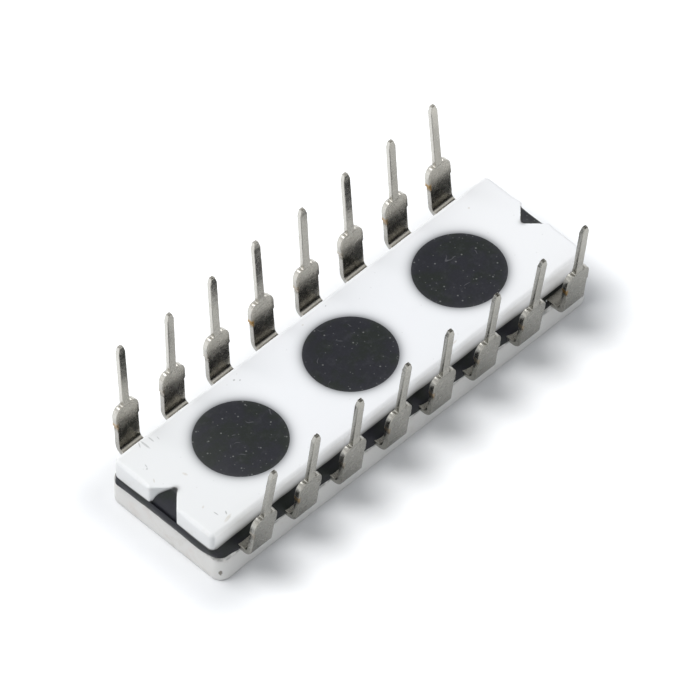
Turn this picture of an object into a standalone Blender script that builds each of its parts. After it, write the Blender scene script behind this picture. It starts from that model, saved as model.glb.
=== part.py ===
"""Sixteen-lead thick-film resistor network in a ceramic sandwich package.

It lies on its marked face with its pins up. The frame's +X runs along the package, +Y points at the
row with leads 1 to 8, and +Z points along the pins. The origin is the middle of the flat marked face.
"""

import math

import bmesh
import bpy

MM = 0.001
QUARTER_TURN = math.pi / 2

# The lead frame's pattern
PITCH = 2.54 * MM
LEADS_PER_ROW = 8

# The ceramic substrate, whose outer face is the marked face, and its room past the end leads
SUBSTRATE_END_MARGIN = 1.63 * MM
SUBSTRATE_WIDTH = 6.38 * MM
SUBSTRATE_THICKNESS = 1.38 * MM
SUBSTRATE_CORNER_RADIUS = 0.50 * MM
SUBSTRATE_EDGE_RADIUS = 0.12 * MM

# The epoxy between the two ceramics: it stands back from their edges and climbs the cover's long sides
SEAM_THICKNESS = 0.40 * MM
SEAM_SETBACK = 0.04 * MM
SEAM_CLIMB = 0.32 * MM
SEAM_LIP = 0.02 * MM
SEAM_HOLLOW = 0.45

# The narrower ceramic cover plate, which reaches past the substrate at both ends
COVER_OVERHANG = 0.08 * MM
COVER_WIDTH = 5.72 * MM
COVER_THICKNESS = 1.01 * MM
COVER_CORNER_RADIUS = 0.28 * MM
COVER_EDGE_RADIUS = 0.15 * MM
COVER_INNER_EDGE_RADIUS = 0.05 * MM

# Three round filling windows through the cover plate
WINDOW_COUNT = 3
WINDOW_SPACING = 6.22 * MM
WINDOW_RADIUS = 1.95 * MM
WINDOW_RIM_RADIUS = 0.05 * MM

# A right-angled notch in the middle of each end of the cover plate
NOTCH_DEPTH = 0.74 * MM
NOTCH_TIP_RADIUS = 0.14 * MM
NOTCH_SLOPE = math.pi / 4

# How the cured epoxy stands in the windows, and how steeply it falls in each notch
PLUG_SINK = 0.01 * MM
PLUG_DISH = 0.04 * MM
PLUG_RINGS = (1.0, 0.8, 0.4)
NOTCH_FILL_SETBACK = 0.08 * MM
INDEX_END_SLUMP = 1.6
FAR_END_SLUMP = 8.0

# The printed conductor pads and resistor films on the substrate
PAD_LENGTH = 1.12 * MM
PAD_SIDE_MARGIN = 0.09 * MM
PAD_THICKNESS = 0.03 * MM
PAD_CORNER_RADIUS = 0.15 * MM
PAD_EDGE_MARGIN = 0.22 * MM
FILM_WIDTH = 1.30 * MM
FILM_THICKNESS = 0.02 * MM
FILM_LAP = 0.12 * MM
TRIM_KERF = 0.06 * MM
TRIM_PLUNGE = 0.60 * MM
TRIM_RUN = 1.10 * MM

# The solder fillet round each lead's inner end, clear of the film's lap
SOLDER_TOE = 0.18 * MM
SOLDER_CREST = 0.05 * MM
SOLDER_GAP = 0.06 * MM

# The stamped leads
LEAD_THICKNESS = 0.25 * MM
TANG_WIDTH = 1.16 * MM
TANG_END_WIDTH = 0.90 * MM
TANG_END_TAPER = 0.30 * MM
BEND_STANDOFF = 0.46 * MM
BEND_RADIUS = 0.20 * MM
BEND_STEPS = 5
SHOULDER_WIDTH = 1.27 * MM
SHOULDER_LENGTH = 2.15 * MM
SHOULDER_CORNER_WIDTH = 0.34 * MM
SHOULDER_CORNER_HEIGHT = 0.50 * MM
SHOULDER_CORNER_STEPS = 5
DAM_BAR_DROP = 0.95 * MM
DAM_BAR_STEP_LENGTH = 0.06 * MM
PIN_WIDTH = 0.37 * MM
PIN_LENGTH = 3.30 * MM
PIN_THICKNESS = 0.21 * MM
PIN_THINNING = 0.30 * MM
PIN_ROOT_RADIUS = 0.08 * MM
PIN_ROOT_STEPS = 3
TIP_LENGTH = 0.30 * MM
TIP_WIDTH = 0.20 * MM
TIP_THICKNESS = 0.14 * MM

# Outward splay of each upright in degrees, from the index end
SPLAY_PLUS_Y_ROW = (3.5, 1.5, 3.0, 4.0, 3.0, 4.0, 3.5, 5.0)
SPLAY_MINUS_Y_ROW = (9.3, 7.8, 6.8, 8.0, 6.7, 7.8, 8.5, 7.2)

# Clearance between pieces that are bonded or printed on each other, and how far cutters run past a face
FIT = 0.010 * MM
OVERRUN = 0.10 * MM

# How finely round forms are divided
CIRCLE_STEPS = 48
CORNER_STEPS = 6
SMALL_CORNER_STEPS = 2
EDGE_STEPS = 3
FLARE_STEPS = 2
SEAM_STEPS = 5
NOTCH_FILL_STEPS = 7

SUBSTRATE_LENGTH = (LEADS_PER_ROW - 1) * PITCH + 2 * SUBSTRATE_END_MARGIN
COVER_LENGTH = SUBSTRATE_LENGTH + 2 * COVER_OVERHANG
SEAM_BASE = SUBSTRATE_THICKNESS
COVER_BASE = SEAM_BASE + SEAM_THICKNESS
COVER_TOP = COVER_BASE + COVER_THICKNESS
PLUG_ROOT = COVER_BASE - SEAM_THICKNESS / 2
PAD_TOP = SEAM_BASE + PAD_THICKNESS
PAD_WIDTH = TANG_WIDTH + 2 * (SOLDER_TOE + PAD_SIDE_MARGIN)
PAD_OUTER_Y = SUBSTRATE_WIDTH / 2 - PAD_EDGE_MARGIN
PAD_INNER_Y = PAD_OUTER_Y - PAD_LENGTH
FILM_REACH = PAD_INNER_Y + FILM_LAP
TANG_BASE = PAD_TOP + FIT
TANG_TOP = TANG_BASE + LEAD_THICKNESS
TANG_INNER_Y = FILM_REACH + SOLDER_GAP + SOLDER_TOE
BEND_START_Y = SUBSTRATE_WIDTH / 2 + BEND_STANDOFF - BEND_RADIUS
UNDER_SEAM = SEAM_BASE - OVERRUN


def clear_scene():
    """Remove whatever the scene holds."""
    for thing in list(bpy.data.objects):
        bpy.data.objects.remove(thing, do_unlink=True)


def make_material(name, color, roughness, metallic=0.0):
    """A Principled material with one colour."""
    material = bpy.data.materials.new(name)
    material.use_nodes = True
    material.diffuse_color = (*color, 1.0)
    shader = material.node_tree.nodes["Principled BSDF"]
    shader.inputs["Base Color"].default_value = (*color, 1.0)
    shader.inputs["Roughness"].default_value = roughness
    shader.inputs["Metallic"].default_value = metallic
    return material


def add_object(name, mesh, material=None):
    """Put a mesh in the scene under a name, smooth with sharp edges kept."""
    if material is not None and material.name not in mesh.materials:
        mesh.materials.append(material)
    mesh.shade_smooth()
    mesh.set_sharp_from_angle(angle=math.radians(35))
    thing = bpy.data.objects.new(name, mesh)
    bpy.context.scene.collection.objects.link(thing)
    return thing


def loft(name, stacks):
    """A mesh of one or more closed solids, each a stack of loops with equal counts, capped flat."""
    mesh = bpy.data.meshes.new(name)
    shape = bmesh.new()
    for loops in stacks:
        rows = [[shape.verts.new(point) for point in loop] for loop in loops]
        count = len(rows[0])
        for below, above in zip(rows, rows[1:]):
            for i in range(count):
                j = (i + 1) % count
                shape.faces.new((below[i], below[j], above[j], above[i]))
        shape.faces.new(list(reversed(rows[0])))
        shape.faces.new(rows[-1])
    bmesh.ops.recalc_face_normals(shape, faces=shape.faces)
    shape.to_mesh(mesh)
    shape.free()
    return mesh


def cutter(name, mesh):
    """A guide solid that shapes another one and isn't part of the model."""
    thing = bpy.data.objects.new(name, mesh)
    bpy.context.scene.collection.objects.link(thing)
    thing.hide_render = True
    thing.display_type = "WIRE"
    return thing


def combine(thing, other, operation):
    """Join or cut a solid with a guide solid."""
    modifier = thing.modifiers.new(other.name, "BOOLEAN")
    modifier.operation = operation
    modifier.object = other
    modifier.solver = "EXACT"


def rounded_rectangle(half_x, half_y, radius, center=(0.0, 0.0), steps=CORNER_STEPS):
    """Points of a rectangle with round corners, counter-clockwise."""
    points = []
    for quarter, (sign_x, sign_y) in enumerate(((1, 1), (-1, 1), (-1, -1), (1, -1))):
        for step in range(steps + 1):
            angle = QUARTER_TURN * (quarter + step / steps)
            x = center[0] + sign_x * (half_x - radius) + radius * math.cos(angle)
            y = center[1] + sign_y * (half_y - radius) + radius * math.sin(angle)
            points.append((x, y))
    return points


def circle(radius, center=(0.0, 0.0)):
    """Points of a circle, counter-clockwise."""
    angles = [2 * math.pi * i / CIRCLE_STEPS for i in range(CIRCLE_STEPS)]
    return [(center[0] + radius * math.cos(a), center[1] + radius * math.sin(a)) for a in angles]


def at_height(points, z):
    """Lift a flat outline to a height."""
    return [(x, y, z) for x, y in points]


def rounded_edges(base, top, base_radius, top_radius, steps):
    """Pairs of inset and height that round a plate's two rims, from its base to its top."""
    pairs = []
    for step in range(steps + 1):
        angle = QUARTER_TURN * step / steps
        pairs.append((base_radius * (1 - math.sin(angle)), base + base_radius * (1 - math.cos(angle))))
    for step in range(steps + 1):
        angle = QUARTER_TURN * step / steps
        pairs.append((top_radius * (1 - math.cos(angle)), top - top_radius * (1 - math.sin(angle))))
    return pairs


def plate_mesh(name, length, width, corner_radius, edges):
    """A ceramic plate with round corners and softened rims."""
    loops = []
    for inset, z in edges:
        outline = rounded_rectangle(length / 2 - inset, width / 2 - inset, corner_radius - inset)
        loops.append(at_height(outline, z))
    return loft(name, [loops])


def flared_stack(outline):
    """A cutter's loops for a hole through the cover plate whose two rims are rounded."""
    flare = WINDOW_RIM_RADIUS
    pairs = [(flare, COVER_BASE - OVERRUN)]
    pairs += rounded_edges(COVER_BASE, COVER_TOP, flare, flare, FLARE_STEPS)
    pairs.append((flare, COVER_TOP + OVERRUN))
    return [at_height(outline(grow), z) for grow, z in pairs]


def window_centers():
    """Middles of the filling windows along the centre line."""
    middle = (WINDOW_COUNT - 1) / 2
    return [((i - middle) * WINDOW_SPACING, 0.0) for i in range(WINDOW_COUNT)]


def notch_outline(end, grow, reach):
    """The notch at one end, widened by grow: a round tip and two sides at 45 degrees, out to reach."""
    tip_x = COVER_LENGTH / 2 - NOTCH_DEPTH
    round_x = tip_x + NOTCH_TIP_RADIUS
    radius = NOTCH_TIP_RADIUS + grow
    points = []
    for step in range(CORNER_STEPS + 1):
        angle = 3 * NOTCH_SLOPE + QUARTER_TURN * step / CORNER_STEPS
        points.append((round_x + radius * math.cos(angle), radius * math.sin(angle)))
    side_x, side_y = points[-1]
    run = reach - side_x
    points.append((reach, side_y - run))
    points.append((reach, -side_y + run))
    return [(end * x, y) for x, y in points]


def build_substrate(material):
    """The wide ceramic plate that carries the films and lies on its marked face."""
    edges = rounded_edges(0.0, SUBSTRATE_THICKNESS, SUBSTRATE_EDGE_RADIUS, SUBSTRATE_EDGE_RADIUS, EDGE_STEPS)
    mesh = plate_mesh("substrate", SUBSTRATE_LENGTH, SUBSTRATE_WIDTH, SUBSTRATE_CORNER_RADIUS, edges)
    return add_object("substrate", mesh, material)


def build_cover_plate(material):
    """The narrow ceramic plate with three filling windows and a notch in each end."""
    edges = rounded_edges(COVER_BASE, COVER_TOP, COVER_INNER_EDGE_RADIUS, COVER_EDGE_RADIUS, EDGE_STEPS)
    mesh = plate_mesh("cover_plate", COVER_LENGTH, COVER_WIDTH, COVER_CORNER_RADIUS, edges)
    plate = add_object("cover_plate", mesh, material)

    reach = COVER_LENGTH / 2 + NOTCH_DEPTH
    stacks = [flared_stack(lambda grow: circle(WINDOW_RADIUS + grow, center)) for center in window_centers()]
    stacks += [flared_stack(lambda grow: notch_outline(end, grow, reach)) for end in (-1, 1)]
    combine(plate, cutter("window_cutter", loft("window_cutter", stacks)), "DIFFERENCE")
    return plate


def seam_loops():
    """The seam: a hollow fillet from the substrate's edge up to the lip on the cover's long sides."""
    loops = []
    lip_y = COVER_WIDTH / 2 + FIT + SEAM_LIP
    # The ledge that the cover leaves on the substrate; a cover as wide as the substrate leaves none
    ledge = max(SUBSTRATE_WIDTH / 2 - SEAM_SETBACK - lip_y, 0.0)
    for step in range(SEAM_STEPS + 1):
        rise = step / SEAM_STEPS
        height = rise * (SEAM_THICKNESS + SEAM_CLIMB)
        lift = min(1.0, height / SEAM_THICKNESS)
        blend = 1 - (1 - rise) ** (1 + SEAM_HOLLOW)
        half_x = SUBSTRATE_LENGTH / 2 + COVER_OVERHANG * lift - SEAM_SETBACK
        half_y = lip_y + ledge * (1 - blend)
        radius = SUBSTRATE_CORNER_RADIUS + (COVER_CORNER_RADIUS - SUBSTRATE_CORNER_RADIUS) * blend
        loops.append(at_height(rounded_rectangle(half_x, half_y, radius), SEAM_BASE + height))
    return loops


def cover_room_loops():
    """The room the cover plate takes on top of the seam."""
    outline = rounded_rectangle(COVER_LENGTH / 2 + FIT, COVER_WIDTH / 2 + FIT, COVER_CORNER_RADIUS + FIT)
    return [at_height(outline, COVER_BASE), at_height(outline, COVER_TOP)]


def plug_loops(center):
    """The epoxy that fills one window, dished by its shrinkage."""
    radius = WINDOW_RADIUS - FIT
    rim = COVER_TOP - PLUG_SINK
    loops = [at_height(circle(radius, center), PLUG_ROOT)]
    for share in PLUG_RINGS:
        loops.append(at_height(circle(radius * share, center), rim - PLUG_DISH * (1 - share ** 4)))
    return loops


def notch_fill_loops(end, slump):
    """The epoxy in one notch: level with the plate at the tip, down to the seam at the end face."""
    tip_x = COVER_LENGTH / 2 - NOTCH_DEPTH
    first = tip_x + FIT
    last = COVER_LENGTH / 2 - NOTCH_FILL_SETBACK
    loops = []
    for step in range(NOTCH_FILL_STEPS + 1):
        share = step / NOTCH_FILL_STEPS
        x = first + (last - first) * share
        inside = x - tip_x
        # Inside the round tip the half width is a chord of it; past its tangent it grows at 45 degrees
        tangent = NOTCH_TIP_RADIUS * (1 - math.cos(NOTCH_SLOPE))
        if inside < tangent:
            half = math.sqrt(NOTCH_TIP_RADIUS ** 2 - (NOTCH_TIP_RADIUS - inside) ** 2)
        else:
            half = NOTCH_TIP_RADIUS * math.sin(NOTCH_SLOPE) + inside - tangent
        half = max(half - FIT / math.cos(NOTCH_SLOPE), FIT)
        top = COVER_TOP - PLUG_SINK - COVER_THICKNESS * share ** slump
        section = [(-half, PLUG_ROOT), (half, PLUG_ROOT), (half, top), (-half, top)]
        loops.append([(end * x, y, z) for y, z in section])
    return loops


def lead_places():
    """Each lead's number, its X, its row's side and its splay, counted round the package."""
    middle = (LEADS_PER_ROW - 1) / 2
    places = []
    for i in range(LEADS_PER_ROW):
        places.append((i + 1, (i - middle) * PITCH, 1, SPLAY_PLUS_Y_ROW[i % len(SPLAY_PLUS_Y_ROW)]))
    for i in reversed(range(LEADS_PER_ROW)):
        number = 2 * LEADS_PER_ROW - i
        splay = SPLAY_MINUS_Y_ROW[i % len(SPLAY_MINUS_Y_ROW)]
        places.append((number, (i - middle) * PITCH, -1, splay))
    return places


def pad_loops(grow, low):
    """A conductor pad at a lead of the +Y row, or the room it takes, from the height low up."""
    center = (0.0, PAD_INNER_Y + PAD_LENGTH / 2)
    outline = rounded_rectangle(PAD_WIDTH / 2 + grow, PAD_LENGTH / 2 + grow, PAD_CORNER_RADIUS, center,
                                SMALL_CORNER_STEPS)
    return [at_height(outline, low), at_height(outline, PAD_TOP + grow)]


def pad_mesh():
    """One conductor pad, printed on the substrate at a lead of the +Y row."""
    return loft("conductor_pad", [pad_loops(0.0, SEAM_BASE)])


def film_mesh():
    """One resistor film: flat on the substrate, lapped onto a pad at each end."""
    gap = PAD_INNER_Y - FIT
    low = PAD_TOP + FIT
    top = low + FILM_THICKNESS
    step = gap - FILM_THICKNESS
    right = [(gap, SEAM_BASE), (gap, low), (FILM_REACH, low), (FILM_REACH, top), (step, top),
             (step, SEAM_BASE + FILM_THICKNESS)]
    left = [(-y, z) for y, z in reversed(right)]
    loops = [[(x, y, z) for y, z in right + left] for x in (-FILM_WIDTH / 2, FILM_WIDTH / 2)]
    return loft("resistor_film", [loops])


def film_room_loops(x):
    """The room one film takes under the epoxy."""
    outline = rounded_rectangle(FILM_WIDTH / 2 + FIT, FILM_REACH + FIT, FIT, (x, 0.0), 1)
    return [at_height(outline, UNDER_SEAM), at_height(outline, PAD_TOP + FILM_THICKNESS + 2 * FIT)]


def trim_cut_loops(x):
    """The laser trim of one film: a plunge in from its side, then a run along it."""
    side = x - FILM_WIDTH / 2
    deep = side + TRIM_PLUNGE
    low = -TRIM_RUN / 2
    outline = [(side - FIT, low), (deep, low), (deep, low + TRIM_RUN), (deep - TRIM_KERF, low + TRIM_RUN),
               (deep - TRIM_KERF, low + TRIM_KERF), (side - FIT, low + TRIM_KERF)]
    return [at_height(outline, SEAM_BASE - FIT), at_height(outline, SEAM_BASE + 2 * FILM_THICKNESS)]


def solder_loops(grow, low):
    """A solder mound at a lead of the +Y row, or the room it takes: its crest is level with the tang."""
    outer = PAD_OUTER_Y - FIT + grow
    toe = TANG_INNER_Y - SOLDER_TOE - grow
    foot = rounded_rectangle(TANG_WIDTH / 2 + SOLDER_TOE + grow, (outer - toe) / 2, SOLDER_TOE / 2,
                             (0.0, (outer + toe) / 2), SMALL_CORNER_STEPS)
    crest = TANG_INNER_Y - SOLDER_CREST - grow
    head = rounded_rectangle(TANG_WIDTH / 2 + SOLDER_CREST + grow, (outer - crest) / 2, SOLDER_CREST / 2,
                             (0.0, (outer + crest) / 2), SMALL_CORNER_STEPS)
    loops = [at_height(foot, PAD_TOP + FIT + grow), at_height(head, TANG_TOP + grow)]
    if low < PAD_TOP:
        loops.insert(0, at_height(foot, low))
    return loops


def tang_room_loops():
    """The room that the tang of a lead in the +Y row takes, from its inner end out past the body."""
    inner = TANG_INNER_Y - FIT
    taper = inner + TANG_END_TAPER
    end_half = TANG_END_WIDTH / 2 + FIT
    half = TANG_WIDTH / 2 + FIT
    outline = [(-end_half, inner), (end_half, inner), (half, taper), (half, BEND_START_Y),
               (-half, BEND_START_Y), (-half, taper)]
    return [at_height(outline, UNDER_SEAM), at_height(outline, TANG_TOP + FIT)]


def at_every_lead(loops):
    """Copies of a +Y row piece's loops at all leads, turned half round on the -Y row."""
    return [[[(x + side * px, side * py, pz) for px, py, pz in loop] for loop in loops]
            for _, x, side, _ in lead_places()]


def build_epoxy_fill(material):
    """The cast epoxy: the seam, the three window plugs and the two notch fillets, in one piece."""
    fill = add_object("epoxy_fill", loft("epoxy_fill", [seam_loops()]), material)
    combine(fill, cutter("cover_guide", loft("cover_guide", [cover_room_loops()])), "DIFFERENCE")

    risers = [plug_loops(center) for center in window_centers()]
    risers += [notch_fill_loops(-1, INDEX_END_SLUMP), notch_fill_loops(1, FAR_END_SLUMP)]
    combine(fill, cutter("riser_guide", loft("riser_guide", risers)), "UNION")

    films = [film_room_loops(x) for _, x, side, _ in lead_places() if side > 0]
    rooms = (("tang_guide", at_every_lead(tang_room_loops())),
             ("solder_guide", at_every_lead(solder_loops(FIT, UNDER_SEAM))),
             ("pad_guide", at_every_lead(pad_loops(FIT, UNDER_SEAM))),
             ("film_guide", films))
    for name, stacks in rooms:
        combine(fill, cutter(name, loft(name, stacks)), "DIFFERENCE")
    return fill


def upright_outline():
    """The shape of the upright up to the pin's root: distance from the bend's end and half width."""
    dam = SHOULDER_LENGTH - DAM_BAR_DROP
    points = [(dam, TANG_WIDTH / 2), (dam + DAM_BAR_STEP_LENGTH, SHOULDER_WIDTH / 2)]
    for step in range(SHOULDER_CORNER_STEPS + 1):
        angle = QUARTER_TURN * step / SHOULDER_CORNER_STEPS
        points.append((SHOULDER_LENGTH - SHOULDER_CORNER_HEIGHT * (1 - math.sin(angle)),
                       SHOULDER_WIDTH / 2 - SHOULDER_CORNER_WIDTH * (1 - math.cos(angle))))
    root = PIN_ROOT_RADIUS
    for step in range(PIN_ROOT_STEPS + 1):
        angle = QUARTER_TURN * step / PIN_ROOT_STEPS
        points.append((SHOULDER_LENGTH + root * (1 - math.cos(angle)),
                       PIN_WIDTH / 2 + root * (1 - math.sin(angle))))
    return points


def lead_mesh(splay):
    """One stamped lead of the +Y row: flat tang, bend and upright with shoulder, pin and tip.

    The strip's two faces are worked out from its middle line, which runs out along Y, turns through
    the bend and rises leaning out by the splay.
    """
    middle_radius = BEND_RADIUS + LEAD_THICKNESS / 2
    middle_z = TANG_BASE + LEAD_THICKNESS / 2
    turn = math.radians(90.0 - splay)
    rows = []

    def add(y, z, angle, half, thickness=LEAD_THICKNESS):
        """One station: both faces, at plus and minus the half width."""
        normal = (-math.sin(angle), math.cos(angle))
        inner = (y + normal[0] * thickness / 2, z + normal[1] * thickness / 2)
        outer = (y - normal[0] * thickness / 2, z - normal[1] * thickness / 2)
        rows.append([(-half, *outer), (half, *outer), (half, *inner), (-half, *inner)])

    add(TANG_INNER_Y, middle_z, 0.0, TANG_END_WIDTH / 2)
    add(TANG_INNER_Y + TANG_END_TAPER, middle_z, 0.0, TANG_WIDTH / 2)
    for step in range(BEND_STEPS + 1):
        angle = turn * step / BEND_STEPS
        y = BEND_START_Y + middle_radius * math.sin(angle)
        z = middle_z + middle_radius * (1 - math.cos(angle))
        add(y, z, angle, TANG_WIDTH / 2)

    foot_y = BEND_START_Y + middle_radius * math.sin(turn)
    foot_z = middle_z + middle_radius * (1 - math.cos(turn))

    def upright(distance, half, thickness=LEAD_THICKNESS):
        """A station on the straight upright."""
        add(foot_y + distance * math.cos(turn), foot_z + distance * math.sin(turn), turn, half, thickness)

    for distance, half in upright_outline():
        upright(distance, half)
    end = SHOULDER_LENGTH + PIN_LENGTH
    upright(SHOULDER_LENGTH + PIN_ROOT_RADIUS + PIN_THINNING, PIN_WIDTH / 2, PIN_THICKNESS)
    upright(end - TIP_LENGTH, PIN_WIDTH / 2, PIN_THICKNESS)
    upright(end, TIP_WIDTH / 2, TIP_THICKNESS)
    return loft("lead", [rows])


def build_network():
    """Every piece of the resistor network, placed in the package's frame."""
    ceramic = make_material("white_alumina", (0.80, 0.80, 0.78), 0.42)
    cover_ceramic = make_material("cover_alumina", (0.84, 0.84, 0.84), 0.40)
    epoxy = make_material("black_epoxy", (0.022, 0.023, 0.027), 0.38)
    tin = make_material("tinned_lead_metal", (0.62, 0.61, 0.57), 0.30, 1.0)
    film = make_material("ruthenium_resistor_film", (0.030, 0.034, 0.032), 0.45)
    silver = make_material("silver_conductor_pad", (0.66, 0.65, 0.62), 0.40, 1.0)
    solder = make_material("solder", (0.52, 0.52, 0.53), 0.32, 1.0)

    build_substrate(ceramic)
    build_cover_plate(cover_ceramic)
    build_epoxy_fill(epoxy)

    pads = pad_mesh()
    films = film_mesh()
    mounds = loft("solder_joint", [solder_loops(0.0, PAD_TOP + FIT)])
    trims = [trim_cut_loops(x) for _, x, side, _ in lead_places() if side > 0]
    trim = cutter("trim_guide", loft("trim_guide", trims))
    tang_room = cutter("tang_room", loft("tang_room", at_every_lead(tang_room_loops())))

    for number, x, side, splay in lead_places():
        turn = 0.0 if side > 0 else math.pi
        if side > 0:
            strip = add_object("resistor_film_%d" % number, films, film)
            strip.location.x = x
            combine(strip, trim, "DIFFERENCE")
        pad = add_object("conductor_pad_%02d" % number, pads, silver)
        mound = add_object("solder_joint_%02d" % number, mounds, solder)
        combine(mound, tang_room, "DIFFERENCE")
        lead = add_object("lead_%02d" % number, lead_mesh(splay), tin)
        for piece in (pad, mound, lead):
            piece.location.x = x
            piece.rotation_euler.z = turn


if __name__ == "__main__":
    clear_scene()
    build_network()
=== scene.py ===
"""Looks of a ceramic resistor network: fired alumina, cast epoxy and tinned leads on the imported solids.

The network lies on its marked face with its pins up. +X runs along it, +Y points at leads 1 to 8 and +Z
along the pins. Sizes are in metres, as in the solids, and the shader maths is in millimetres.
"""

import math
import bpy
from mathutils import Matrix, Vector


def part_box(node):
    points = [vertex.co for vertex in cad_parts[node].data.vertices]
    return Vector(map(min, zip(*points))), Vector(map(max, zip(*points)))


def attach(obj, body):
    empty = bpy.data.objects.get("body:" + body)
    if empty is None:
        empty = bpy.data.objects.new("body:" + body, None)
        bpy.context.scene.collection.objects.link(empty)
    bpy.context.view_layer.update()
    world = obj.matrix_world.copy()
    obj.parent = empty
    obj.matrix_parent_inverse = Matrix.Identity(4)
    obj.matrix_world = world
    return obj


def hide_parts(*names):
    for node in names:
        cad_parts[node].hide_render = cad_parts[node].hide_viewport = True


bl_info = {
    "name": "Ceramic Resistor Network",
    "version": (1, 0, 0),
    "blender": (4, 5, 0),
    "location": "View3D > Sidebar > Network",
    "description": "Builds the ceramic plates, the cast epoxy and the leads of a resistor network",
    "category": "Add Mesh",
}

import bmesh
import bpy
import numpy as np
from mathutils import Matrix, Vector

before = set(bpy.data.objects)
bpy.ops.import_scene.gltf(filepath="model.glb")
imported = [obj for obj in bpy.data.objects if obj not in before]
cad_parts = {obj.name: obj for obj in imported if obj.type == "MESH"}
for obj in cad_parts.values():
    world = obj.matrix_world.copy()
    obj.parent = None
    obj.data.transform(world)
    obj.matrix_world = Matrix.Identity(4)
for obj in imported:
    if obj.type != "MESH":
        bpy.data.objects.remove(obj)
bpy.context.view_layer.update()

MM = 0.001
BODY = "root"
QUARTER_TURN = math.pi / 2
WELD_DISTANCE = 5e-8

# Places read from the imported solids
SUBSTRATE_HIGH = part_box("substrate")[1]
COVER_LOW, COVER_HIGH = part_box("cover_plate")
LEAD_COUNT = sum(name.startswith("lead_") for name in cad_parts)
ROW_COUNT = LEAD_COUNT // 2

# Steps along the round and flat stretches of the surfaces
EDGE_STEPS = 7
CORNER_STEPS = 12
SIDE_STEPS = 40
WINDOW_COUNT = 3

# Outward splay of each upright in degrees, from the index end
SPLAY_PLUS_Y_ROW = (3.5, 1.5, 3.0, 4.0, 3.0, 4.0, 3.5, 5.0)
SPLAY_MINUS_Y_ROW = (9.3, 7.8, 6.8, 8.0, 6.7, 7.8, 8.5, 7.2)
# Reach of each upright above its bend in millimetres, from the index end
REACH_PLUS_Y_ROW = (5.50, 5.50, 5.52, 5.53, 5.52, 5.53, 5.50, 5.50)
REACH_MINUS_Y_ROW = (5.31, 5.22, 5.15, 5.34, 5.14, 5.35, 5.40, 5.22)
# How brown each lead's sheared step has gone, from the index end
TARNISH_PLUS_Y_ROW = (0.6, 0.15, 0.1, 1.0, 0.3, 0.15, 0.7, 0.9)
TARNISH_MINUS_Y_ROW = (0.2, 0.8, 0.3, 0.5, 0.6, 0.4, 0.5, 1.0)

# Climb of the epoxy up the cover's -Y side at places along X, both in millimetres
CLIMB_PLACES = (-10.3, -9.2, -6.7, -4.1, -1.6, 0.9, 3.5, 6.0, 7.6, 8.4)
CLIMB_HEIGHTS = (0.10, 0.15, 0.24, 0.23, 0.27, 0.30, 0.20, 0.24, 0.10, 0.0)
# Its climb up the +Y side, up the ends, and how much less that is at the ends' +Y corners
CLIMB_PLUS_Y = 0.32 * MM
CLIMB_END = 0.10 * MM
CLIMB_END_LOSS = 0.07 * MM

# How far the plugs and fills lie below the cover's face, and the notch fills inside its end face
FILL_SINK = 0.012 * MM
FILL_GAP = 0.07 * MM
# Slope and power of each notch's fill: the index end's has run out, the far end's is almost level
NOTCH_FILLS = {-1: (0.52, 6.0), 1: (0.0, 16.0)}

# Distances along the strip in millimetres, from the tang's inner end: its length and the bend's
TANG_LENGTH = 1.24
BEND_LENGTH = 0.455
# Place of the sheared step along the strip
BARE_STEP = TANG_LENGTH + BEND_LENGTH + 1.20
# The strip's place: how far the tang starts inside the substrate's side and lies above it, and the bend
TANG_INSIDE = 0.98 * MM
TANG_LIFT = 0.04 * MM
BEND_RADIUS = 0.20 * MM

# Directions that metal reflects: the soft box, as a small bright disc, and a dark patch of ceiling
BOX_DIRECTION = (-0.305, 0.451, 0.839)
DARK_DIRECTION = (0.447, 0.250, 0.859)

# Finishes between the plates: material, colour, its darker tone, roughness, metal and grains to a mm
INNER_FINISHES = {
    "conductor_pad": ("silver_conductor_pad", (0.66, 0.65, 0.62), (0.50, 0.49, 0.45), 0.38, 1.0, 12.0),
    "solder_joint": ("solder", (0.55, 0.55, 0.56), (0.42, 0.42, 0.43), 0.25, 1.0, 5.0),
    "resistor_film": ("ruthenium_resistor_film", (0.030, 0.034, 0.032), (0.045, 0.048, 0.045), 0.42, 0.0,
                      15.0),
}


def length(name, description, default):
    """A length property in metres."""
    return bpy.props.FloatProperty(name=name, description=description, default=default, unit="LENGTH",
                                   precision=5)


def colour(name, description, default):
    """A colour property."""
    return bpy.props.FloatVectorProperty(name=name, description=description, default=default, size=3,
                                         subtype="COLOR", min=0.0, max=1.0)


def share(name, description, default):
    """A plain number property."""
    return bpy.props.FloatProperty(name=name, description=description, default=default)


class PlateSizes(bpy.types.PropertyGroup):
    """Sizes of the two ceramic plates and of the epoxy between them."""
    substrate_corner: length("Substrate Corner", "Radius of the substrate's corners", 0.50 * MM)
    substrate_edge: length("Substrate Edge", "Radius of the substrate's rims", 0.12 * MM)
    cover_corner: length("Cover Corner", "Radius of the cover plate's corners", 0.28 * MM)
    cover_edge: length("Cover Edge", "Radius of the cover plate's outer rim", 0.19 * MM)
    notch_edge: length("Notch Edge", "Radius of the rim along each notch", 0.06 * MM)
    window_edge: length("Window Edge", "Radius of each window's rim", 0.05 * MM)
    window_radius: length("Window Radius", "Radius of the filling windows", 1.95 * MM)
    window_spacing: length("Window Spacing", "Distance between the windows' middles", 6.22 * MM)
    notch_depth: length("Notch Depth", "Depth of the notch in each end", 0.74 * MM)
    notch_tip: length("Notch Tip", "Radius of each notch's tip", 0.14 * MM)


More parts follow.
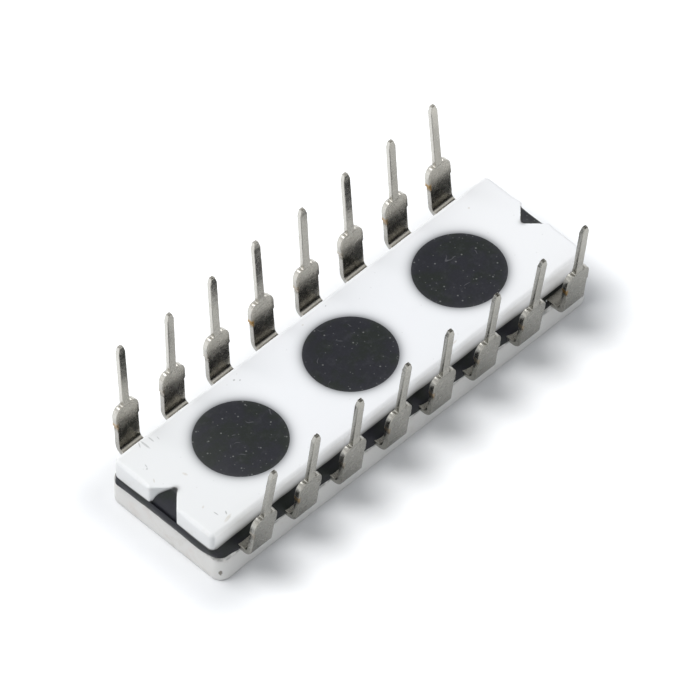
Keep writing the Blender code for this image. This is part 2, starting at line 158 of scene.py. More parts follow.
class LeadSizes(bpy.types.PropertyGroup):
    """Sizes of the stamped leads."""
    pitch: length("Pitch", "Distance between leads in a row", 2.54 * MM)
    thickness: length("Thickness", "Thickness of the strip", 0.25 * MM)
    tang_width: length("Tang Width", "Width of the strip below the sheared bar", 1.16 * MM)
    shoulder_width: length("Shoulder Width", "Width of the shoulder", 1.27 * MM)
    shoulder_length: length("Shoulder Length", "Height of the shoulder above the bend", 2.15 * MM)
    corner_width: length("Corner Width", "Width of the shoulder's oval corners", 0.34 * MM)
    corner_height: length("Corner Height", "Height of the shoulder's oval corners", 0.50 * MM)
    bar_drop: length("Bar Drop", "From the shoulder's top down to the sheared bar", 0.95 * MM)
    pin_width: length("Pin Width", "Width of the pin", 0.37 * MM)
    pin_thickness: length("Pin Thickness", "Thickness of the pin", 0.21 * MM)
    tip_length: length("Tip Length", "Length of the tapered tip", 0.30 * MM)
    tip_width: length("Tip Width", "Width of the tip's end", 0.21 * MM)
    tip_thickness: length("Tip Thickness", "Thickness of the tip's end", 0.17 * MM)
    edge: length("Edge", "Radius of the rolled edges", 0.026 * MM)
    dent: length("Dent", "Height of the dents and waves in the faces", 0.0020 * MM)


class FinishSettings(bpy.types.PropertyGroup):
    """Colours and wear of the materials."""
    cover_colour: colour("Cover Plate", "Fired alumina of the cover plate", (0.838, 0.843, 0.860))
    substrate_colour: colour("Substrate", "Fired alumina of the substrate", (0.815, 0.802, 0.776))
    epoxy_colour: colour("Epoxy", "Filled black epoxy", (0.0150, 0.0155, 0.0205))
    tin_colour: colour("Tin", "Tin plating of the leads' faces", (0.462, 0.445, 0.398))
    cut_colour: colour("Cut Tin", "Tin plating of the stamped edges", (0.56, 0.548, 0.51))
    bare_colour: colour("Bare Metal", "Bare metal where the bar was sheared off", (0.40, 0.23, 0.06))
    wear: share("Wear", "Strength of scratches and marks", 1.0)


class StageSettings(bpy.types.PropertyGroup):
    """Camera, floor and light."""
    lens: share("Lens", "Focal length on a 36 mm sensor", 639.3)
    distance: length("Distance", "From the camera to the network", 502.41 * MM)
    azimuth: share("Azimuth", "Camera direction in degrees from +X", -134.759)
    elevation: share("Elevation", "Camera height in degrees", 50.579)
    sky: share("Sky", "Strength of the room's light", 0.49)
    key: share("Key", "Light that the soft box adds to a surface facing it", 0.80)
    floor_glow: share("Floor Glow", "How much lighter the camera sees the floor beyond the part", 0.42)
    mirror_glow: share("Mirror Glow", "How much lighter metal sees the floor beyond the part", 0.50)


# Mesh helpers


def add_object(name, data):
    """A new object in the scene, at the origin."""
    made = bpy.data.objects.new(name, data)
    bpy.context.scene.collection.objects.link(made)
    return made


def quads_of(rows, columns, first):
    """Corner indices of the quads of a grid of points whose first point has index first."""
    index = np.arange(rows * columns).reshape(rows, columns) + first
    corners = (index[:-1, :-1], index[1:, :-1], index[1:, 1:], index[:-1, 1:])
    return np.stack(corners, axis=-1).reshape(-1, 4)


def add_piece(name, grids, material, nodes=(), attributes=None):
    """A closed piece stitched from grids of points, each with shape (rows, columns, 3) in metres.

    Points of neighbouring grids fall on each other along their borders and are merged there. The
    attributes are vectors by name, one for each point of the grids.
    """
    points = np.concatenate([grid.reshape(-1, 3) for grid in grids])
    shapes = [grid.shape[:2] for grid in grids]
    starts = np.cumsum([0] + [rows * columns for rows, columns in shapes])
    faces = np.concatenate([quads_of(*shape, start) for shape, start in zip(shapes, starts)])
    mesh = bpy.data.meshes.new(name)
    mesh.vertices.add(len(points))
    mesh.vertices.foreach_set("co", points.astype(np.float32).ravel())
    mesh.loops.add(faces.size)
    mesh.loops.foreach_set("vertex_index", faces.astype(np.int32).ravel())
    mesh.polygons.add(len(faces))
    mesh.polygons.foreach_set("loop_start", np.arange(0, faces.size, 4, dtype=np.int32))
    mesh.update(calc_edges=True)
    for key, values in (attributes or {}).items():
        layer = mesh.attributes.new(key, "FLOAT_VECTOR", "POINT")
        layer.data.foreach_set("vector", values.astype(np.float32).ravel())

    shape = bmesh.new()
    shape.from_mesh(mesh)
    bmesh.ops.remove_doubles(shape, verts=shape.verts, dist=WELD_DISTANCE)
    bmesh.ops.dissolve_degenerate(shape, edges=shape.edges, dist=WELD_DISTANCE)
    bmesh.ops.recalc_face_normals(shape, faces=shape.faces)
    shape.to_mesh(mesh)
    shape.free()
    mesh.shade_smooth()
    mesh.set_sharp_from_angle(angle=math.radians(50))
    mesh.materials.append(material)

    piece = add_object(name, mesh)
    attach(piece, BODY)
    if nodes:
        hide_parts(*nodes)


def ripple(u, v, seed, wavelength, waves=7):
    """Smooth unevenness from -1 to 1: the mean of plane waves in random directions with random phases."""
    draw = np.random.default_rng(seed)
    total = np.zeros(np.broadcast(u, v).shape)
    for _ in range(waves):
        angle, phase = draw.uniform(0.0, 2 * math.pi, 2)
        stretch = draw.uniform(0.6, 1.7)
        run = u * math.cos(angle) + v * math.sin(angle)
        total += np.sin(run * 2 * math.pi * stretch / wavelength + phase)
    return total / waves * 1.8


def smooth_step(value, low, high):
    """0 below low, 1 above high and an even S-curve between."""
    t = np.clip((value - low) / (high - low), 0.0, 1.0)
    return t * t * (3 - 2 * t)


def line(start, end, count):
    """Evenly spaced points from start up to but without end."""
    t = np.arange(count)[:, None] / count
    return np.asarray(start)[None] * (1 - t) + np.asarray(end)[None] * t


def arc(center, radius, start, end, count):
    """Points of an arc and its unit radii, from the angle start up to but without end, in radians."""
    angle = start + (end - start) * np.arange(count) / count
    radii = np.stack([np.cos(angle), np.sin(angle)], axis=-1)
    return np.asarray(center)[None] + radius * radii, radii


def rounded_loop(half_x, half_y, radius):
    """A closed rectangle with round corners, counter-clockwise, with its outward normals."""
    points, normals = [], []
    signs = ((1, 1), (-1, 1), (-1, -1), (1, -1))
    for quarter, (sign_x, sign_y) in enumerate(signs):
        center = (sign_x * (half_x - radius), sign_y * (half_y - radius))
        start = quarter * QUARTER_TURN
        bend, radii = arc(center, radius, start, start + QUARTER_TURN, CORNER_STEPS)
        normal = np.array([math.cos(start + QUARTER_TURN), math.sin(start + QUARTER_TURN)])
        next_x, next_y = signs[(quarter + 1) % 4]
        after = np.array([next_x * (half_x - radius), next_y * (half_y - radius)]) + normal * radius
        count = SIDE_STEPS * (3 if quarter % 2 == 0 else 1)
        points += [bend, line(np.asarray(center) + normal * radius, after, count)]
        normals += [radii, np.tile(normal, (count, 1))]
    points, normals = np.concatenate(points), np.concatenate(normals)
    return np.concatenate([points, points[:1]]), np.concatenate([normals, normals[:1]])


def rim_profile(base, top, base_edge, top_edge):
    """Inset and height down one plate edge, for each point of an outline.

    Each rim is a quarter circle of its own radius: inset = radius (1 - cos t), drop = radius (1 - sin t).
    """
    t = np.linspace(0.0, QUARTER_TURN, EDGE_STEPS + 1)[:, None]
    low = (base_edge * (1 - np.sin(t)), base + base_edge * (1 - np.cos(t)))
    high = (top_edge * (1 - np.cos(t)), top - top_edge * (1 - np.sin(t)))
    middle_z = low[1][-1:] * 0.5 + high[1][:1] * 0.5
    inset = np.concatenate([low[0], np.zeros_like(middle_z), high[0]])
    height = np.concatenate([low[1], middle_z, high[1]])
    return inset, height


def epoxy_climb(points, normals):
    """How far the epoxy climbs the cover plate, for outline points with their outward normals.

    On the -Y side it follows the photographed heights, on the +Y side it is even and at the ends it is
    a thin line, least at the ends' +Y corners.
    """
    x, y = points[:, 0], points[:, 1]
    near = np.interp(x / MM, CLIMB_PLACES, CLIMB_HEIGHTS) * MM
    side = np.where(y < 0, near, CLIMB_PLUS_Y)
    end = CLIMB_END - CLIMB_END_LOSS * smooth_step(y, 0.4 * MM, 2.6 * MM)
    on_side = smooth_step(np.abs(normals[:, 1]), 0.6, 1.0)
    return (end + (side - end) * on_side) * (1 + 0.10 * ripple(x, y, 23, 1.3 * MM))


def lifted(points, height):
    """Flat points with a height added, which may be one number or one for each point."""
    return np.concatenate([points, np.broadcast_to(height, points.shape[:-1])[..., None]], axis=-1)


def plate_wall(points, normals, base, top, base_edge, top_edge):
    """The wall of a plate: its outline moved in along its normals as the two rims turn."""
    inset, height = rim_profile(base, top, base_edge, top_edge)
    moved = points[None] - normals[None] * inset[..., None]
    return lifted(moved, height)


def flat_patch(outer, inner, shares, height):
    """A flat patch whose rows run from the outer to the inner row of points by the given shares."""
    t = np.asarray(shares)[:, None, None]
    return lifted(outer[None] * (1 - t) + inner[None] * t, height)


def middle_line(points):
    """The plates' middle line, with one point for each outline point: the nearest along X."""
    spine = np.zeros_like(points)
    reach = SUBSTRATE_HIGH.x - SUBSTRATE_HIGH.y
    spine[:, 0] = np.clip(points[:, 0], -reach, reach)
    return spine


# Shader helpers


class Wire:
    """One output of a shader node. Arithmetic on it adds Math nodes."""

    def __init__(self, board, socket):
        self.board = board
        self.socket = socket

    def math(self, operation, *others):
        """A Math node on this value and the others."""
        inputs = dict(enumerate((self, *others)))
        return self.board.node("ShaderNodeMath", {"operation": operation}, inputs)[0]

    def __add__(self, other):
        return self.math("ADD", other)

    def __sub__(self, other):
        return self.math("SUBTRACT", other)

    def __mul__(self, other):
        return self.math("MULTIPLY", other)

    def __truediv__(self, other):
        return self.math("DIVIDE", other)

    def __rsub__(self, other):
        return self.math("MULTIPLY_ADD", -1.0, other)

    def __neg__(self):
        return self.math("MULTIPLY", -1.0)

    __radd__ = __add__
    __rmul__ = __mul__

    def size(self):
        """The value without its sign."""
        return self.math("ABSOLUTE")

    def step(self, low, high, start=0.0, end=1.0):
        """An even S-curve from start at low to end at high."""
        settings = {"interpolation_type": "SMOOTHSTEP"}
        inputs = {"Value": self, "From Min": low, "From Max": high, "To Min": start, "To Max": end}
        return self.board.node("ShaderNodeMapRange", settings, inputs)[0]

    def fade(self, reach, power=1.0):
        """1 at zero, falling off with the distance reach: exp(-(value / reach) ^ power)."""
        reached = self.math("MAXIMUM", 0.0) / reach
        return (-reached.math("POWER", power)).math("EXPONENT")

    def across(self, other):
        """The length of a vector with this value and the other at right angles."""
        return (self * self + other * other).math("SQRT")


class Board:
    """The node tree of a material or a world, with short calls for the nodes used here."""

    def __init__(self, name, worlds=False):
        self.material = (bpy.data.worlds if worlds else bpy.data.materials).new(name)
        self.material.use_nodes = True
        self.tree = self.material.node_tree
        self.tree.nodes.clear()
        position = self.node("ShaderNodeTexCoord")["Object"]
        self.place = self.vector("SCALE", position, Scale=1000.0)
        self.x, self.y, self.z = self.split(self.place)

    def node(self, kind, settings=None, inputs=None):
        """Add a node with its settings and its inputs, each a value or a wire, and give its outputs."""
        made = self.tree.nodes.new(kind)
        for key, value in (settings or {}).items():
            setattr(made, key, value)
        for key, value in (inputs or {}).items():
            if isinstance(value, Wire):
                self.tree.links.new(value.socket, made.inputs[key])
            else:
                made.inputs[key].default_value = value
        return Outputs(self, made)

    def vector(self, operation, *values, **named):
        """A Vector Math node that gives a vector."""
        inputs = {**dict(enumerate(values)), **named}
        return self.node("ShaderNodeVectorMath", {"operation": operation}, inputs)[0]

    def dot(self, first, second):
        """The dot product of two vectors."""
        return self.node("ShaderNodeVectorMath", {"operation": "DOT_PRODUCT"}, {0: first, 1: second})[1]

    def split(self, vector):
        """The three parts of a vector."""
        parts = self.node("ShaderNodeSeparateXYZ", {}, {0: vector})
        return parts[0], parts[1], parts[2]

    def mix(self, factor, first, second, blend="MIX"):
        """Mix two colours, each a wire or three numbers."""
        inputs = {0: factor}
        for index, value in ((6, first), (7, second)):
            inputs[index] = value if isinstance(value, Wire) else (*value, 1.0)
        return self.node("ShaderNodeMix", {"data_type": "RGBA", "blend_type": blend}, inputs)[2]

    def coats(self, base, *layers):
        """A colour with coats over it in turn, each how much of it there is and its own colour."""
        for amount, tint in layers:
            base = self.mix(amount, base, tint)
        return base

    def attribute(self, name):
        """A vector that each vertex of the piece carries."""
        return self.node("ShaderNodeAttribute", {"attribute_name": name})["Vector"]

    def noise(self, scale, detail=2.0, roughness=0.5, place=None, distortion=0.0):
        """Noise from 0 to 1 with about scale features to a millimetre."""
        inputs = {"Vector": place or self.place, "Scale": scale, "Detail": detail, "Roughness": roughness,
                  "Distortion": distortion}
        return self.node("ShaderNodeTexNoise", {}, inputs)[0]

    def turned(self, angle, stretch, place=None):
        """The place turned about Z by degrees and stretched along each axis."""
        inputs = {0: place or self.place, "Rotation": (0.0, 0.0, math.radians(angle)), "Scale": stretch}
        return self.node("ShaderNodeMapping", {"vector_type": "TEXTURE"}, inputs)[0]

    def flecks(self, scale, radius, keep, angle=0.0, stretch=(1.0, 1.0, 1.0), place=None):
        """Separate flecks on XY: cells whose random number is above keep have one, of a radius in cells."""
        settings = {"feature": "F1", "voronoi_dimensions": "2D"}
        where = self.turned(angle, stretch, place)
        cells = self.node("ShaderNodeTexVoronoi", settings, {"Vector": where, "Scale": scale})
        chosen = self.node("ShaderNodeSeparateColor", {}, {0: cells["Color"]})[0].math("GREATER_THAN", keep)
        return cells["Distance"].step(radius * 0.4, radius, 1.0, 0.0) * chosen

    def spots(self, marks):
        """The sum of soft oval marks, each with the values that spot takes."""
        total = self.spot(*marks[0])
        for mark in marks[1:]:
            total = total + self.spot(*mark)
        return total

    def spot(self, x, y, half_long, half_wide, angle):
        """A soft oval mark round a point of the XY plane, in millimetres, turned by degrees."""
        turn = math.radians(angle)
        along = (self.x - x) * math.cos(turn) + (self.y - y) * math.sin(turn)
        across = (self.y - y) * math.cos(turn) - (self.x - x) * math.sin(turn)
        along, across = along / half_long, across / half_wide
        return (along * along + across * across).step(0.15, 1.0, 1.0, 0.0)

    def finish(self, base, roughness, metallic=0.0, bumps=(), specular=0.5, glow=None):
        """Close the material: a Principled shader with the colour, roughness, bumps and glow given."""
        normal = None
        for height, strength, distance in bumps:
            inputs = {"Height": height, "Strength": strength, "Distance": distance * MM}
            if normal is not None:
                inputs["Normal"] = normal
            normal = self.node("ShaderNodeBump", {}, inputs)[0]
        inputs = {"Base Color": base if isinstance(base, Wire) else (*base, 1.0), "Roughness": roughness,
                  "Metallic": metallic, "Specular IOR Level": specular}
        if glow is not None:
            inputs.update({"Emission Color": glow, "Emission Strength": 1.0})
        if normal is not None:
            inputs["Normal"] = normal
        shader = self.node("ShaderNodeBsdfPrincipled", {}, inputs)[0]
        self.node("ShaderNodeOutputMaterial", {}, {"Surface": shader})
        return self.material


class Outputs:
    """The outputs of a node as wires, by name or number."""

    def __init__(self, board, made):
        self.board = board
        self.made = made

    def __getitem__(self, key):
        return Wire(self.board, self.made.outputs[key])


# Materials


def scaled(tint, *factors):
    """A colour with each channel times its own factor."""
    return tuple(c * k for c, k in zip(tint, factors))


def window_distance(board, sizes):
    """Distance from the nearest window's wall, in millimetres, folded from the windows' even spacing."""
    spacing = sizes.window_spacing / MM
    index = (board.x / spacing).math("ROUND").math("MAXIMUM", -1.0).math("MINIMUM", 1.0)
    return (board.x - index * spacing).across(board.y) - sizes.window_radius / MM


def make_cover_alumina(sizes, finish):
    """White fired alumina with painted shade where black epoxy lies behind it, a painted glow at its sides,
    and handling marks.
    """
    board = Board("cover_alumina")
    grain = board.noise(9.0, 4.0, 0.6)
    cloud = board.noise(0.45, 3.0, 0.55)
    worn = board.noise(1.7, 4.0, 0.65)
    speck = board.noise(16.0, 3.0, 0.7)
    white = finish.cover_colour
    warm, bright = scaled(white, 0.93, 0.93, 0.91), scaled(white, 1.015, 1.01, 1.0)
    base = board.coats(
        white,
        (board.x.step(-10.5, -3.0, 1.0, 0.0) * 0.8 + cloud * 0.2, warm),
        (board.x.step(3.0, 10.5), bright))

    # Painted shade: a bluish grey fading out round the windows and a dark grey fading out above the climbing
    # seam stand in for the black epoxy seen through the plate
    top = board.z.step(2.66, 2.74)
    depth = window_distance(board, sizes)
    level, reach, long_side = board.split(board.attribute("epoxy"))
    side = COVER_HIGH.y / MM - board.y.size()
    # Painted shade round each notch's apex on the top face
    apex_shade = (board.x.size() - (COVER_HIGH.x - sizes.notch_depth) / MM).across(board.y) - 0.06
    base = board.coats(
        base,
        (depth.fade(0.21, 1.3) * 0.74 * top, (0.055, 0.060, 0.070)),
        ((board.z - level).fade(reach, 1.2) * 0.94, (0.022, 0.022, 0.021)),
        # Along the long rims a warm grey that is partly wear and partly painted shade of the rounded rims
        (side.fade(0.22) * 0.11 * worn.step(0.3, 0.7, 0.6, 1.2), (0.42, 0.40, 0.34)),
        (apex_shade.fade(0.10, 1.5) * 0.55 * top, (0.10, 0.095, 0.09)))

    # Handling marks: rubbed scratches at the index end, small dots, brown smears and warm darker patches
    # along the end rims
    wear = finish.wear
    scratch = board.spots(((-9.16, 2.47, 0.34, 0.060, 90), (-8.80, 2.50, 0.20, 0.045, 90),
                           (-9.34, 2.62, 0.18, 0.035, 60), (-9.98, 1.53, 0.055, 0.05, 0),
                           (-9.90, 1.66, 0.13, 0.03, 75), (-8.55, 2.36, 0.12, 0.025, 80)))
    dots = board.spots(((-4.29, 2.35, 0.06, 0.05, 0), (-4.12, 2.18, 0.05, 0.04, 0),
                        (1.05, 2.50, 0.05, 0.03, 20), (-9.62, -2.05, 0.16, 0.03, 95),
                        (-9.30, -2.30, 0.12, 0.04, 60)))
    brown = board.spots(((-9.08, 0.27, 0.15, 0.07, -75), (8.83, 2.06, 0.06, 0.06, 0),
                         (-0.31, 2.44, 0.06, 0.05, 0), (3.40, -2.52, 0.20, 0.05, 10),
                         (-9.45, -2.55, 0.30, 0.09, 15), (-10.2, 0.9, 0.14, 0.04, 60),
                         (-9.75, -1.45, 0.10, 0.05, 30)))
    rubbed = speck.step(0.20, 0.55, 0.35, 1.0)
    rim = (COVER_HIGH.x / MM - board.x.size()).fade(0.12) * worn.step(0.50, 0.72)
    base = board.coats(
        base,
        (scratch * rubbed * (0.40 * wear), (0.15, 0.15, 0.14)),
        (dots * (0.55 * wear), (0.24, 0.235, 0.23)),
        (brown * rubbed * (0.30 * wear), (0.40, 0.32, 0.20)),
        (board.flecks(1.3, 0.05, 0.80) * (0.22 * wear), (0.42, 0.42, 0.40)),
        (rim * (0.20 * wear), (0.50, 0.46, 0.38)))

    roughness = grain.step(0.2, 0.8, 0.42, 0.54)
    bumps = [(cloud, 0.20, 0.008), (grain, 0.25, 0.003), (board.noise(40.0, 2.0), 0.2, 0.0012)]

    # Painted glow: emission on the walls stands in for light that spreads inside the thin plate and comes
    # out again at its sides
    end = board.x.size().step(10.50, 10.60, 0.0, 0.10)
    through = long_side * board.z.step(2.66, 2.80, 0.38, 0.04) + end * board.z.step(2.66, 2.80, 1.0, 0.1)
    painted_glow = board.mix(through, (0.0, 0.0, 0.0), base)
    return board.finish(base, roughness, bumps=bumps, specular=0.40, glow=painted_glow)


def make_white_alumina(finish):
    """The substrate's alumina: warmer, with pressed sides, faint stains and a chipped corner."""
    board = Board("white_alumina")
    grain = board.noise(8.0, 4.0, 0.6)
    cloud = board.noise(0.6, 3.0, 0.55)
    stain = board.noise(1.1, 4.0, 0.65, distortion=0.4)
    plain = finish.substrate_colour
    pink = board.noise(0.9, 3.0, 0.6, place=board.vector("ADD", board.place, (7.0, 3.0, 1.0)))
    end = (-board.x).step(9.5, 10.4)
    base = board.coats(
        plain,
        (cloud, scaled(plain, 0.95, 0.95, 0.95)),
        (stain.step(0.54, 0.76) * 0.22, (0.52, 0.46, 0.38)),
        (pink.step(0.50, 0.68) * end * 0.16, (0.58, 0.44, 0.37)))

    # The rim darkens in patches just below the seam, and painted shade darkens the foot where it meets the
    # floor
    seam = (SUBSTRATE_HIGH.z / MM - 0.10 - board.z).fade(0.045)
    base = board.coats(
        base,
        (seam * board.noise(4.0, 3.0).step(0.25, 0.7) * 0.6, (0.10, 0.10, 0.095)),
        (board.z.fade(0.10) * 0.30, (0.36, 0.355, 0.34)))

    # The chip at the corner has a ragged outline: its distance is bent by the grain
    chip_x = (board.x + SUBSTRATE_HIGH.x / MM - 0.15) / 0.075
    chip_y = (board.y + SUBSTRATE_HIGH.y / MM - 0.15) / 0.075
    chip_z = (board.z - 0.52) / 0.13
    chip = chip_x * chip_x + chip_y * chip_y + chip_z * chip_z + (grain - 0.5) * 3.2
    base = board.coats(
        base,
        (chip.step(0.3, 1.7, 1.0, 0.0) * 0.80, (0.13, 0.105, 0.07)),
        (board.flecks(1.5, 0.05, 0.86) * 0.30, (0.36, 0.33, 0.28)))
    roughness = grain.step(0.2, 0.8, 0.46, 0.60)
    bumps = [(cloud, 0.3, 0.012), (grain, 0.45, 0.006)]
    return board.finish(base, roughness, bumps=bumps, specular=0.40)


def make_black_epoxy(sizes, finish):
    """Filled black epoxy: bluish charcoal with greenish clouds, pale specks, curled scratches and lint."""
    board = Board("black_epoxy")
    grain = board.noise(14.0, 4.0, 0.6)
    cloud = board.noise(0.9, 4.0, 0.6)
    dark = finish.epoxy_colour
    top = (board.z - COVER_LOW.z / MM).step(0.85, 0.93)
    rim = (-window_distance(board, sizes)).fade(0.10)
    away_x = board.x + sizes.window_spacing / MM + 1.5
    hazy = (away_x * 0.8 - board.y * 0.25).fade(1.1)
    dusty = board.noise(2.4, 5.0, 0.7).step(0.50, 0.78) * 0.05
    base = board.coats(
        dark,
        (cloud.step(0.42, 0.62), scaled(dark, 0.80, 0.98, 0.62)),
        (grain.step(0.45, 0.8) * 0.5, scaled(dark, 2.0, 2.0, 2.0)),
        (rim * top * 0.10, (0.14, 0.14, 0.14)),
        (hazy * 0.045 * top, (0.30, 0.30, 0.30)), (dusty * top, (0.30, 0.30, 0.32)))

    # Everything loose lies on the tops alone; the curls follow a place that noise has bent
    bend = board.node("ShaderNodeTexNoise", {}, {"Vector": board.place, "Scale": 1.6, "Detail": 1.0})[1]
    curled = board.vector("ADD", board.place, board.vector("SCALE", bend, Scale=0.9))
    shifted = board.vector("ADD", board.place, (13.7, 4.1, 0.0))
    specks = board.flecks(1.7, 0.085, 0.66)
    small = board.flecks(3.3, 0.105, 0.80) * 0.7 + board.flecks(2.6, 0.085, 0.76, place=shifted) * 0.6
    curls = (board.flecks(1.7, 0.055, 0.66, 20.0, (5.5, 0.9, 1.0), curled)
             + board.flecks(1.6, 0.050, 0.68, -45.0, (6.5, 0.9, 1.0), curled)
             + board.flecks(1.8, 0.055, 0.68, 80.0, (5.0, 0.9, 1.0), curled))
    long_marks = (board.flecks(1.2, 0.028, 0.66, 52.0, (12.0, 0.9, 1.0))
                  + board.flecks(1.1, 0.026, 0.62, -15.0, (12.0, 0.9, 1.0)))
    wear = finish.wear
    loose = ((specks + small, 0.42, (0.27, 0.28, 0.27)), (curls, 0.36, (0.17, 0.17, 0.185)),
             (long_marks, 0.30, (0.15, 0.15, 0.16)))
    for marks, amount, tint in loose:
        base = board.mix(marks.math("MINIMUM", 1.0) * top * (amount * wear), base, tint)
    roughness = grain.step(0.25, 0.75, 0.42, 0.56)
    bumps = [(cloud, 0.2, 0.006), (grain, 0.3, 0.003)]
    return board.finish(base, roughness, bumps=bumps, specular=0.25)


def make_tin(finish):
    """Tin plating: bright and faintly mottled along the strip, brown where the bar was sheared off."""
    board = Board("tinned_lead_metal")
    strip = board.attribute("strip")
    across, along, _ = board.split(strip)
    tarnish, cut, from_root = board.split(board.attribute("state"))
    mottle = board.noise(3.2, 5.0, 0.62)
    fine = board.noise(16.0, 4.0, 0.6)
    drawn = board.noise(6.0, 3.0, 0.6, place=board.vector("MULTIPLY", strip, (4.0, 0.35, 4.0)))
    smear = board.noise(1.9, 4.0, 0.7, distortion=0.6).step(0.56, 0.72)
    worn = board.noise(5.0, 4.0, 0.65, distortion=0.5).step(0.56, 0.70)
    base = board.coats(
        finish.tin_colour,
        (cut.step(0.2, 0.9), finish.cut_colour),
        (mottle.step(0.35, 0.7, 0.10, 0.0), (0.30, 0.28, 0.25)),
        (drawn.step(0.50, 0.75) * 0.20, (0.27, 0.25, 0.22)),
        (smear * 0.28, (0.27, 0.245, 0.20)), (worn * 0.28, (0.62, 0.60, 0.55)))

    # Brown metal on the sheared step's -X side, which is the right-hand side of the -Y row's strips
    edge = across.size().step(0.46, 0.58)
    right = board.y.step(-1.0, 1.0, 1.0, 0.0)
    index_side = across.step(-0.1, 0.1, 1.0 - right, right)
    step = (along - BARE_STEP).size().step(0.10, 0.26, 1.0, 0.0)
    brown = step * edge * fine.step(0.25, 0.50, 0.70, 1.0) * tarnish * index_side

    # A dark line below the step, and tarnish in the bend and at the pin's root
    torn = (along - BARE_STEP + 0.20).size().step(0.03, 0.15, 1.0, 0.0) * edge * fine.step(0.35, 0.6)
    crook = (along - BARE_STEP + 1.25).size().step(0.1, 0.6, 1.0, 0.0) * mottle.step(0.4, 0.65)
    root = (from_root - 0.10).size().step(0.05, 0.50, 1.0, 0.0) * worn * tarnish.step(0.0, 1.0, 0.3, 1.0)
    base = board.coats(
        base,
        (brown * 0.96, finish.bare_colour), (torn * 0.60, (0.09, 0.075, 0.05)),
        (crook * 0.25, (0.20, 0.18, 0.15)), (root * 0.65, (0.12, 0.10, 0.085)))

    # Painted shade: the -Y row is made greyer than the +Y row, as its faces mirror the shadowed floor
    base = board.mix(board.y.step(-3.0, 3.0, 1.0, 0.0), base, (0.70, 0.705, 0.70), "MULTIPLY")
    roughness = mottle.step(0.3, 0.7, 0.22, 0.30) + smear * 0.06 + brown * 0.15 + (cut - cut * cut) * 0.7
    bumps = [(mottle, 0.18, 0.0035), (drawn, 0.12, 0.0015), (fine, 0.10, 0.0008)]
    return board.finish(base, roughness, 1.0, bumps)


def make_inner_finish(name, base, dark, roughness, metallic, scale):
    """A plain print or solder finish for the pieces between the plates."""
    board = Board(name)
    grain = board.noise(scale, 4.0, 0.6)
    tint = board.mix(grain.step(0.3, 0.7), base, dark)
    rough = grain.step(0.2, 0.8, roughness, roughness + 0.15)
    return board.finish(tint, rough, metallic, [(grain, 0.4, 0.003)])


def settings():
    """The scene's four groups of settings."""
    scene = bpy.context.scene
    return scene.network_plates, scene.network_leads, scene.network_finish, scene.network_stage


# Operators


class NETWORK_OT_substrate(bpy.types.Operator):
    """Build the wide ceramic plate that lies on its marked face"""
    bl_idname = "network.substrate"
    bl_label = "Build Substrate"

    def execute(self, context):
        plates, _, finish, _ = settings()
        points, normals = rounded_loop(SUBSTRATE_HIGH.x, SUBSTRATE_HIGH.y, plates.substrate_corner)
        wave = 1 + 0.16 * ripple(points[:, 0], points[:, 1], 3, 1.7 * MM)
        edge = plates.substrate_edge * wave
        wall = plate_wall(points, normals, 0.0, SUBSTRATE_HIGH.z, edge, edge)

        # Pressed sides are a little uneven: a shallow ripple that dies out at the rims
        depth = 0.008 * MM * ripple(points[:, 0] + points[:, 1], points[:, 1] - points[:, 0], 5, 2.3 * MM)
        share_up = wall[..., 2] / SUBSTRATE_HIGH.z
        wall[..., :2] -= normals[None] * (depth[None] * np.sin(math.pi * share_up) ** 2)[..., None]

        # Each face closes towards the plate's middle line
        shares = (0.0, 0.02, 0.35, 0.7, 1.0)
        grids = [wall]
        for row, height in ((0, 0.0), (-1, SUBSTRATE_HIGH.z)):
            grids.append(flat_patch(wall[row, :, :2], middle_line(points), shares, height))
        add_piece("substrate_plate", grids, make_white_alumina(finish), ["substrate"])
        return {"FINISHED"}


